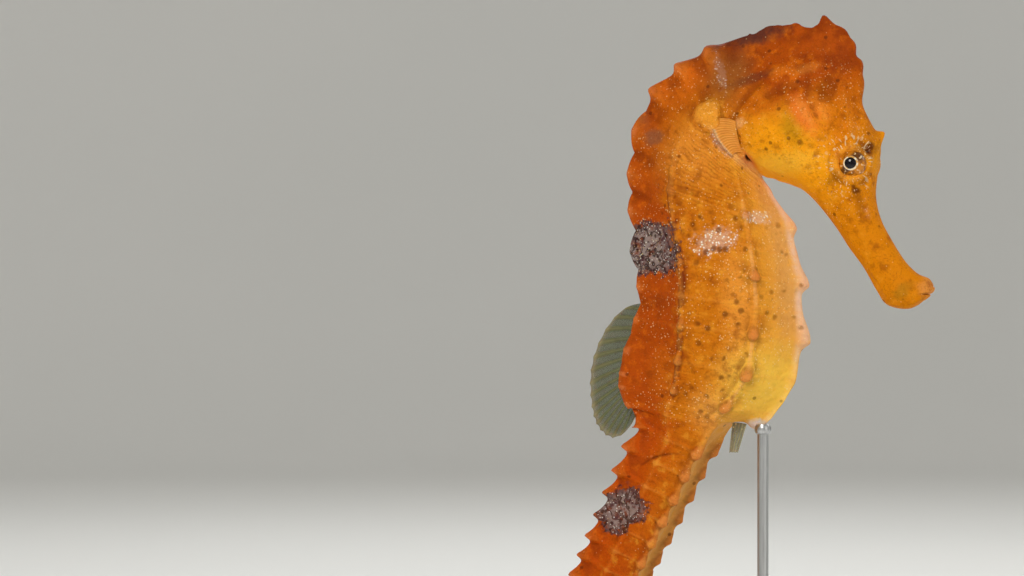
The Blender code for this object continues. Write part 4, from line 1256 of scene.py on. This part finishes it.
def fin_material(name, tint, ray_tint, shade, solid, edge):
    """A clouded membrane, denser along the rays and dotted white near its foot."""
    m = Finish(name, Subsurface_Weight=0.1, Subsurface_Scale=0.0005, IOR=1.4)
    ray, out = m.attribute("ray"), m.attribute("out")
    cloud = m.noise(0.8, 3.0)
    colour = m.mix(tint, ray_tint, ray * 0.8)
    colour = m.mix(colour, shade, cloud.step(0.45, 0.7) * 0.4)
    dots = m.cells(1.3).step(0.2, 0.12) * out.step(0.45, 0.1)
    colour = m.mix(colour, DOT_WHITE, dots * 0.8)
    colour = m.mix(colour, STREAK_WHITE, out.step(0.86, 1.0) * edge)
    alpha = (solid + ray * 0.35 + out.step(0.35, 0.0) * 0.3 + dots).least(1.0)
    height = ray * 0.06 + cloud * 0.03
    return m.finish(Base_Color=colour, Alpha=alpha, Roughness=0.38 + cloud * 0.2, Height=height)


def ray_material(name, tint, joint, joint_lines):
    """Fin rays with fine lines across, where their joints are."""
    m = Finish(name, Subsurface_Weight=0.1, Subsurface_Scale=0.0004)
    joints = (m.attribute("out") * joint_lines).sin().step(0.3, 0.8)
    colour = m.mix(tint, joint, joints * 0.5)
    return m.finish(Base_Color=colour, Roughness=0.42 + joints * 0.1)


WOOD_DARK, WOOD_LIGHT, WOOD_PORE = rgb(74, 44, 26), rgb(122, 78, 46), rgb(38, 22, 14)
STEEL_DARK, STEEL_LIGHT = rgb(170, 172, 174), rgb(205, 206, 206)
PAPER_DARK, PAPER_LIGHT = rgb(232, 232, 229), rgb(238, 237, 234)


def wood_material():
    """Dark walnut with long grain and pores."""
    m = Finish("walnut", Specular_IOR_Level=0.45)
    boards = m.noise(1.0, 3.0, m.stretched((0.02, 0.16, 0.16)))
    rings = (boards * 16 + m.y * 0.55).sin() * 0.5 + 0.5
    fibre = m.noise(1.0, 4.0, m.stretched((0.12, 2.6, 2.6)), rough=0.65)
    pores = m.noise(1.0, 2.0, m.stretched((0.35, 5.0, 5.0))).step(0.62, 0.72)
    colour = m.mix(WOOD_DARK, WOOD_LIGHT, rings * 0.65 + fibre * 0.35)
    colour = m.mix(colour, WOOD_PORE, pores * 0.6)
    rough = 0.38 + fibre * 0.16 + pores * 0.15
    return m.finish(Base_Color=colour, Roughness=rough, Height=fibre * 0.02 - pores * 0.04)


def steel_material():
    m = Finish("satin_steel", Metallic=1.0)
    brushed = m.noise(1.0, 3.0, m.stretched((6.0, 6.0, 0.25)))
    colour = m.mix(STEEL_DARK, STEEL_LIGHT, brushed)
    return m.finish(Base_Color=colour, Roughness=0.24 + brushed * 0.14)


def floor_material():
    m = Finish("studio_paper")
    cloud = m.noise(0.004, 2.0)
    colour = m.mix(PAPER_DARK, PAPER_LIGHT, cloud)
    return m.finish(Base_Color=colour, Roughness=0.8 + cloud * 0.1)


# ---- eyes -----------------------------------------------------------------

EYE_SEGMENTS, EYE_RINGS = 96, 64
CORNEA_RADIUS, CORNEA_LIFT = 1.45, 0.14


def make_eye(name, side):
    """An eyeball whose clear front swells a little out of the ball."""
    shape = bmesh.new()
    sizes = {"u_segments": EYE_SEGMENTS, "v_segments": EYE_RINGS, "radius": EYE_RADIUS}
    bmesh.ops.create_uvsphere(shape, **sizes)
    for vertex in shape.verts:
        away = math.hypot(vertex.co.x, vertex.co.y)
        if vertex.co.z > 0:
            vertex.co.z += CORNEA_LIFT * max(0.0, 1 - (away / CORNEA_RADIUS) ** 2)
        vertex.co = Vector((vertex.co.x, side * vertex.co.z, vertex.co.y))
        vertex.co += Vector((EYE_CENTRE[0], side * EYE_CENTRE[1], EYE_CENTRE[2]))
        vertex.co *= MM
    return finished_object(mesh_from(shape, name), name)


# ---- fins -----------------------------------------------------------------

FIN_STEPS, BETWEEN_RAYS = 22, 6
RAY_SIDES, RAY_THINNING = 10, 0.72  # how much thinner a ray's tip is than its foot
EDGE_DIP = 0.025  # of the membrane between two rays, as a part of their length
DORSAL_RINGS, DORSAL_SLANTS = (8.5, 12.9), (30, -66)
DORSAL_REACH, DORSAL_DROOP, DORSAL_WAVE = 9.3, 0.9, 0.35
ANAL_RINGS, ANAL_SLANTS = (1.75, 1.15), (18, 8)  # rings before the tail's first one
ANAL_REACH, ANAL_WAVE = 4.9, 0.25
#   station and place around of the first and the last ray
PECTORAL_FOOT = ((15.4, 2.15), (16.0, 3.0))
PECTORAL_TIP = ((16.75, 2.12), (17.35, 2.92))
PECTORAL_FOLDS, PECTORAL_FOLD = 4.5, 0.05


def between(ends, part):
    first, last = (np.asarray(end, float) for end in ends)
    return first + (last - first) * part


def dorsal_row(part, steps):
    """Points of the dorsal fin from its foot on the back to its edge."""
    t = FIRST_RING + float(between(DORSAL_RINGS, part))
    down = unit(through(BELLY, [t])[0] - through(BACK, [t])[0])
    foot = body_surface([t], [0])[0, 0] + 0.5 * np.array((down[0], 0, down[1]))
    round_ends = (1 - abs(2 * part - 1) ** 3) ** 0.6
    reach = DORSAL_REACH * (0.12 + 0.88 * round_ends) * (0.82 + 0.38 * part)
    slant = math.radians(float(between(DORSAL_SLANTS, part**0.85)))
    ray = np.array((-math.cos(slant), 0, math.sin(slant)))
    droop = np.array((0, 0, -DORSAL_DROOP))
    out = np.linspace(0, 1, steps + 1)[:, None]
    wave = DORSAL_WAVE * np.sin(9 * part + 1.5 * out) * out
    return foot + ray * reach * out + droop * out**2 + wave * np.array((0, 1.0, 0))


def anal_row(part, steps):
    """Points of the short fin behind the vent."""
    foot = body_surface([TAIL_FIRST - float(between(ANAL_RINGS, part))], [4])[0, 0]
    foot = foot + np.array((0, 0, 0.6))
    slant = math.radians(float(between(ANAL_SLANTS, part)))
    ray = np.array((-math.sin(slant), 0, -math.cos(slant)))
    out = np.linspace(0, 1, steps + 1)[:, None]
    wave = np.array((0, ANAL_WAVE, 0)) * np.sin(6 * part + 2 * out) * out
    return foot + ray * ANAL_REACH * out + wave


def pectoral_row(part, steps, side):
    """The pectoral fin lies folded back along the body behind the gill."""
    start, end = between(PECTORAL_FOOT, part), between(PECTORAL_TIP, part)
    end[0] += 0.25 * math.sin(math.pi * part)
    row = []
    for out in np.linspace(0, 1, steps + 1):
        t, around = between((start, end), out)
        x, y, z = body_surface([t], [around])[0, 0]
        fold = PECTORAL_FOLD * math.sin(2 * math.pi * PECTORAL_FOLDS * part) * out
        row.append((x, side * (y + 0.28 + 0.32 * out + fold), z))
    return np.array(row)


def sheet_faces(columns, wide):
    """Quads of the two sides of a thin sheet and of the border between them."""
    count, last = columns * wide, (columns - 1) * wide
    faces = []
    for i in range(0, last, wide):
        for j in range(i, i + wide - 1):
            quad = (j, j + wide, j + wide + 1, j + 1)
            faces.append(quad)
            faces.append(tuple(count + k for k in reversed(quad)))
    border = [*range(wide), *range(2 * wide - 1, count, wide)]
    border += [*range(count - 2, last - 1, -1), *range(last - wide, 0, -wide)]
    for a, b in zip(border, border[1:] + border[:1]):
        faces.append((a, b, count + b, count + a))
    return faces


def make_membrane(name, row, rays, thick):
    """A thin closed sheet through the rays, with a scalloped edge."""
    columns, wide = (rays - 1) * BETWEEN_RAYS + 1, FIN_STEPS + 1
    parts, out = np.linspace(0, 1, columns), np.linspace(0, 1, wide)
    sheet = np.array([row(part, FIN_STEPS) for part in parts])
    dip = np.abs(np.sin(math.pi * parts * (rays - 1)))[:, None, None]
    length = sheet[:, -1:] - sheet[:, :1]
    sheet = sheet - length * EDGE_DIP * dip * out[None, :, None] ** 2
    normal = unit(np.cross(np.gradient(sheet, axis=0), np.gradient(sheet, axis=1)))
    half = 0.5 * thick * (1 - 0.6 * out)[None, :, None]
    points = np.stack((sheet + normal * half, sheet - normal * half)).reshape(-1, 3) * MM
    mesh = bpy.data.meshes.new(name)
    mesh.from_pydata(points.tolist(), [], sheet_faces(columns, wide))
    on_ray = np.abs(np.cos(math.pi * parts * (rays - 1))) ** 6
    keep_values(mesh, "ray", np.tile(np.repeat(on_ray, wide), 2))
    keep_values(mesh, "out", np.tile(out, 2 * columns))
    return finished_object(mesh, name)


RAY_INPUTS = {
    "Lines": "Geometry",
    "Ray Radius": "Float",
    "Ray Sides": "Int",
    "Ray Finish": "Material",
}


def ray_tree():
    """Nodes that turn lines into tapering rods: each line is one ray of a fin."""
    tree = bpy.data.node_groups.new("fin_rays", "GeometryNodeTree")
    for name, kind in RAY_INPUTS.items():
        tree.interface.new_socket(name, in_out="INPUT", socket_type="NodeSocket" + kind)
    tree.interface.new_socket("Rays", in_out="OUTPUT", socket_type="NodeSocketGeometry")

    def node(kind, inputs, **settings):
        return add_node(tree, kind, inputs, settings).outputs[0]

    given = add_node(tree, "NodeGroupInput", {}, {}).outputs
    out = node("GeometryNodeInputNamedAttribute", {"Name": "out"}, data_type="FLOAT")
    thinner = node("ShaderNodeMath", {0: out, 1: -RAY_THINNING, 2: 1.0}, operation="MULTIPLY_ADD")
    radius = node("ShaderNodeMath", {0: thinner, 1: given["Ray Radius"]}, operation="MULTIPLY")
    lines = node("GeometryNodeMeshToCurve", {"Mesh": given["Lines"]})
    lines = node("GeometryNodeSetCurveRadius", {"Curve": lines, "Radius": radius})
    round_form = {"Resolution": given["Ray Sides"], "Radius": 1.0}
    circle = node("GeometryNodeCurvePrimitiveCircle", round_form)
    tube = {"Curve": lines, "Profile Curve": circle, "Scale": radius, "Fill Caps": True}
    rods = node("GeometryNodeCurveToMesh", tube)
    rods = node("GeometryNodeRealizeInstances", {"Geometry": rods})
    rods = node("GeometryNodeSetMaterial", {"Geometry": rods, "Material": given["Ray Finish"]})
    add_node(tree, "NodeGroupOutput", {"Rays": rods}, {})
    return tree


def make_rays(name, row, rays, tree, sizes):
    """Rods along the rays of a fin, grown by the node tree."""
    wide = FIN_STEPS + 1
    points = np.concatenate([row(part, FIN_STEPS) for part in np.linspace(0, 1, rays)]) * MM
    starts = [i for i in range(rays * wide) if (i + 1) % wide]
    mesh = bpy.data.meshes.new(name)
    mesh.from_pydata(points.tolist(), [(i, i + 1) for i in starts], [])
    keep_values(mesh, "out", np.tile(np.linspace(0, 1, wide), rays))
    obj = placed(name, mesh)
    grow = obj.modifiers.new("grow", "NODES")
    grow.node_group = tree
    for item in tree.interface.items_tree:
        if item.name in sizes:
            grow[item.identifier] = sizes[item.name]
    apply_modifiers(obj)
    obj.data.shade_smooth()
    return obj


#   the membrane's tint, its tint on the rays, its clouds, how solid it is between
#   the rays and how pale at the edge; the rays' tint, their joints and how many
FIN_LOOKS = {
    "fin": (
        (rgb(84, 94, 60), rgb(116, 118, 72), rgb(62, 66, 38), 0.6, 0.2),
        (rgb(112, 114, 72), rgb(84, 84, 50), 70),
    ),
    "folded": (
        (rgb(234, 144, 34), rgb(242, 160, 58), rgb(216, 124, 20), 0.85, 0.5),
        (rgb(242, 160, 58), rgb(248, 178, 92), 12),
    ),
    "small": (
        (rgb(138, 134, 96), rgb(172, 168, 128), rgb(98, 96, 62), 0.55, 0.2),
        (rgb(170, 166, 128), rgb(140, 136, 98), 70),
    ),
}
#   look, the points of a ray, how many rays, the membrane's thickness, a ray's radius
FINS = {
    "dorsal_fin": ("fin", dorsal_row, 17, 0.14, 0.09),
    "anal_fin": ("small", anal_row, 5, 0.12, 0.06),
    "pectoral_fin_left": ("folded", partial(pectoral_row, side=1), 16, 0.06, 0.03),
    "pectoral_fin_right": ("folded", partial(pectoral_row, side=-1), 16, 0.06, 0.03),
}


def add_fins():
    tree, finishes = ray_tree(), {}
    for look, (membrane, rays) in FIN_LOOKS.items():
        membrane_finish = fin_material(f"{look}_membrane", *membrane)
        finishes[look] = membrane_finish, ray_material(f"{look}_rays", *rays)
    for name, (look, row, rays, thick, radius) in FINS.items():
        membrane_finish, ray_finish = finishes[look]
        membrane = make_membrane(f"{name}_membrane", row, rays, thick)
        membrane.data.materials.append(membrane_finish)
        ride(membrane, "fin", name)
        sizes = {"Ray Radius": radius * MM, "Ray Sides": RAY_SIDES, "Ray Finish": ray_finish}
        ride(make_rays(f"{name}_rays", row, rays, tree, sizes), "fin")


# ---- stand ----------------------------------------------------------------

BASE_LENGTH, BASE_WIDTH, BASE_HEIGHT = 74.0, 44.0, 8.0
BASE_CORNER, CORNER_STEPS = 12.0, 14
#   inwards, height: the base's edge, from its underside to its top
BASE_EDGE = (
    (0.8, 0.0),
    (0.3, 0.15),
    (0.0, 0.6),
    (0.0, 5.6),
    (0.35, 6.1),
    (1.1, 6.4),
    (1.5, 6.9),
    (1.9, 7.6),
    (2.6, 8.0),
)
EDGE_BEVEL, EDGE_BEVEL_STEPS = 0.22, 3
FRONT_ROD_X, REAR_ROD_X = 1.6, -15.0
ROD_RADIUS, ROD_FOOT_RADIUS, ROD_SIDES = 0.9, 2.4, 64
ROD_SINK = 0.1  # mm that a rod's foot goes into the base


def rounded_outline(inwards):
    """The base's outline, moved inwards, with a round corner in each quarter."""
    half_length, half_width = BASE_LENGTH / 2 - inwards, BASE_WIDTH / 2 - inwards
    corner = BASE_CORNER - inwards
    points = []
    for quarter in range(4):
        x = (half_length - corner) * (1, -1, -1, 1)[quarter]
        y = (half_width - corner) * (1, 1, -1, -1)[quarter]
        for i in range(CORNER_STEPS + 1):
            angle = math.pi / 2 * (quarter + i / CORNER_STEPS)
            points.append((x + corner * math.cos(angle), y + corner * math.sin(angle)))
    return points


def make_base():
    """The wooden base, with a stepped and softened edge."""
    shape = bmesh.new()
    rows = []
    for inwards, height in BASE_EDGE:
        outline = rounded_outline(inwards)
        rows.append([shape.verts.new((x * MM, y * MM, height * MM)) for x, y in outline])
    for low, high in zip(rows, rows[1:]):
        for i, vertex in enumerate(low):
            j = (i + 1) % len(low)
            shape.faces.new((vertex, low[j], high[j], high[i]))
    shape.faces.new(rows[0])
    shape.faces.new(rows[-1])
    base = finished_object(mesh_from(shape, "base"), "base", smooth=False)
    bevel = base.modifiers.new("soft_edges", "BEVEL")
    bevel.width, bevel.segments = EDGE_BEVEL * MM, EDGE_BEVEL_STEPS
    bevel.limit_method = "ANGLE"
    bevel.angle_limit = math.radians(12)
    apply_modifiers(base)
    base.data.set_sharp_from_angle(angle=math.radians(40))
    return base


def make_rod(name, x, top):
    """An upright rod with a turned foot and a small collar under the body."""
    foot, r, start = ROD_FOOT_RADIUS, ROD_RADIUS, BASE_HEIGHT - ROD_SINK
    profile = [(0, start), (foot - 0.1, start), (foot, start + 0.12), (foot, start + 0.7)]
    profile += [(foot - 0.25, start + 1.0), (r + 0.5, start + 1.2)]
    profile += [(r + 0.15, start + 1.5), (r, start + 2.0)]
    profile += [(r, top - 1.6), (r + 0.3, top - 1.45), (r + 0.42, top - 1.1)]
    profile += [(r + 0.42, top - 0.5), (r + 0.2, top), (0, top)]
    rod = finished_object(turned(name, profile, ROD_SIDES, x), name)
    rod.data.set_sharp_from_angle(angle=math.radians(35))
    return rod


def underside(x, first, last, around):
    """The lowest height of the body's line at place around, near x."""
    line = body_surface(np.linspace(first, last, 400), [around])[:, 0]
    return line[np.abs(line[:, 0] - x) < 1.5 * ROD_RADIUS, 2].min()


def add_stand():
    base, steel = make_base(), steel_material()
    base.data.materials.append(wood_material())
    ride(base, "base", "stand_base")
    front_top = underside(FRONT_ROD_X, FIRST_RING + 9, TAIL_FIRST - 1, 4) + 0.5
    rear_top = underside(REAR_ROD_X, TAIL_FIRST + 8, TAIL_FIRST + 24, 0) - 0.2
    for name, x, top in (("front", FRONT_ROD_X, front_top), ("rear", REAR_ROD_X, rear_top)):
        rod = make_rod(f"rod_{name}", x, top)
        rod.data.materials.append(steel)
        ride(rod, "rod", f"stand_rod_{name}")


# ---- the whole ------------------------------------------------------------

FLESH = ("snout", "head", "coronet", "neck", "trunk_upper", "trunk_lower")
FLESH += tuple(f"tail_{n}" for n in range(1, 7))

add_camera()
add_lights(add_floor())
skin = make_skin()
skin.data.materials.append(skin_material())
ride(skin, "skin", *FLESH)
eye_finish = eye_material()
for side, name in ((1, "eye_left"), (-1, "eye_right")):
    eye = make_eye(f"{name}_ball", side)
    eye.data.materials.append(eye_finish)
    ride(eye, "eye", name)
add_fins()
add_stand()
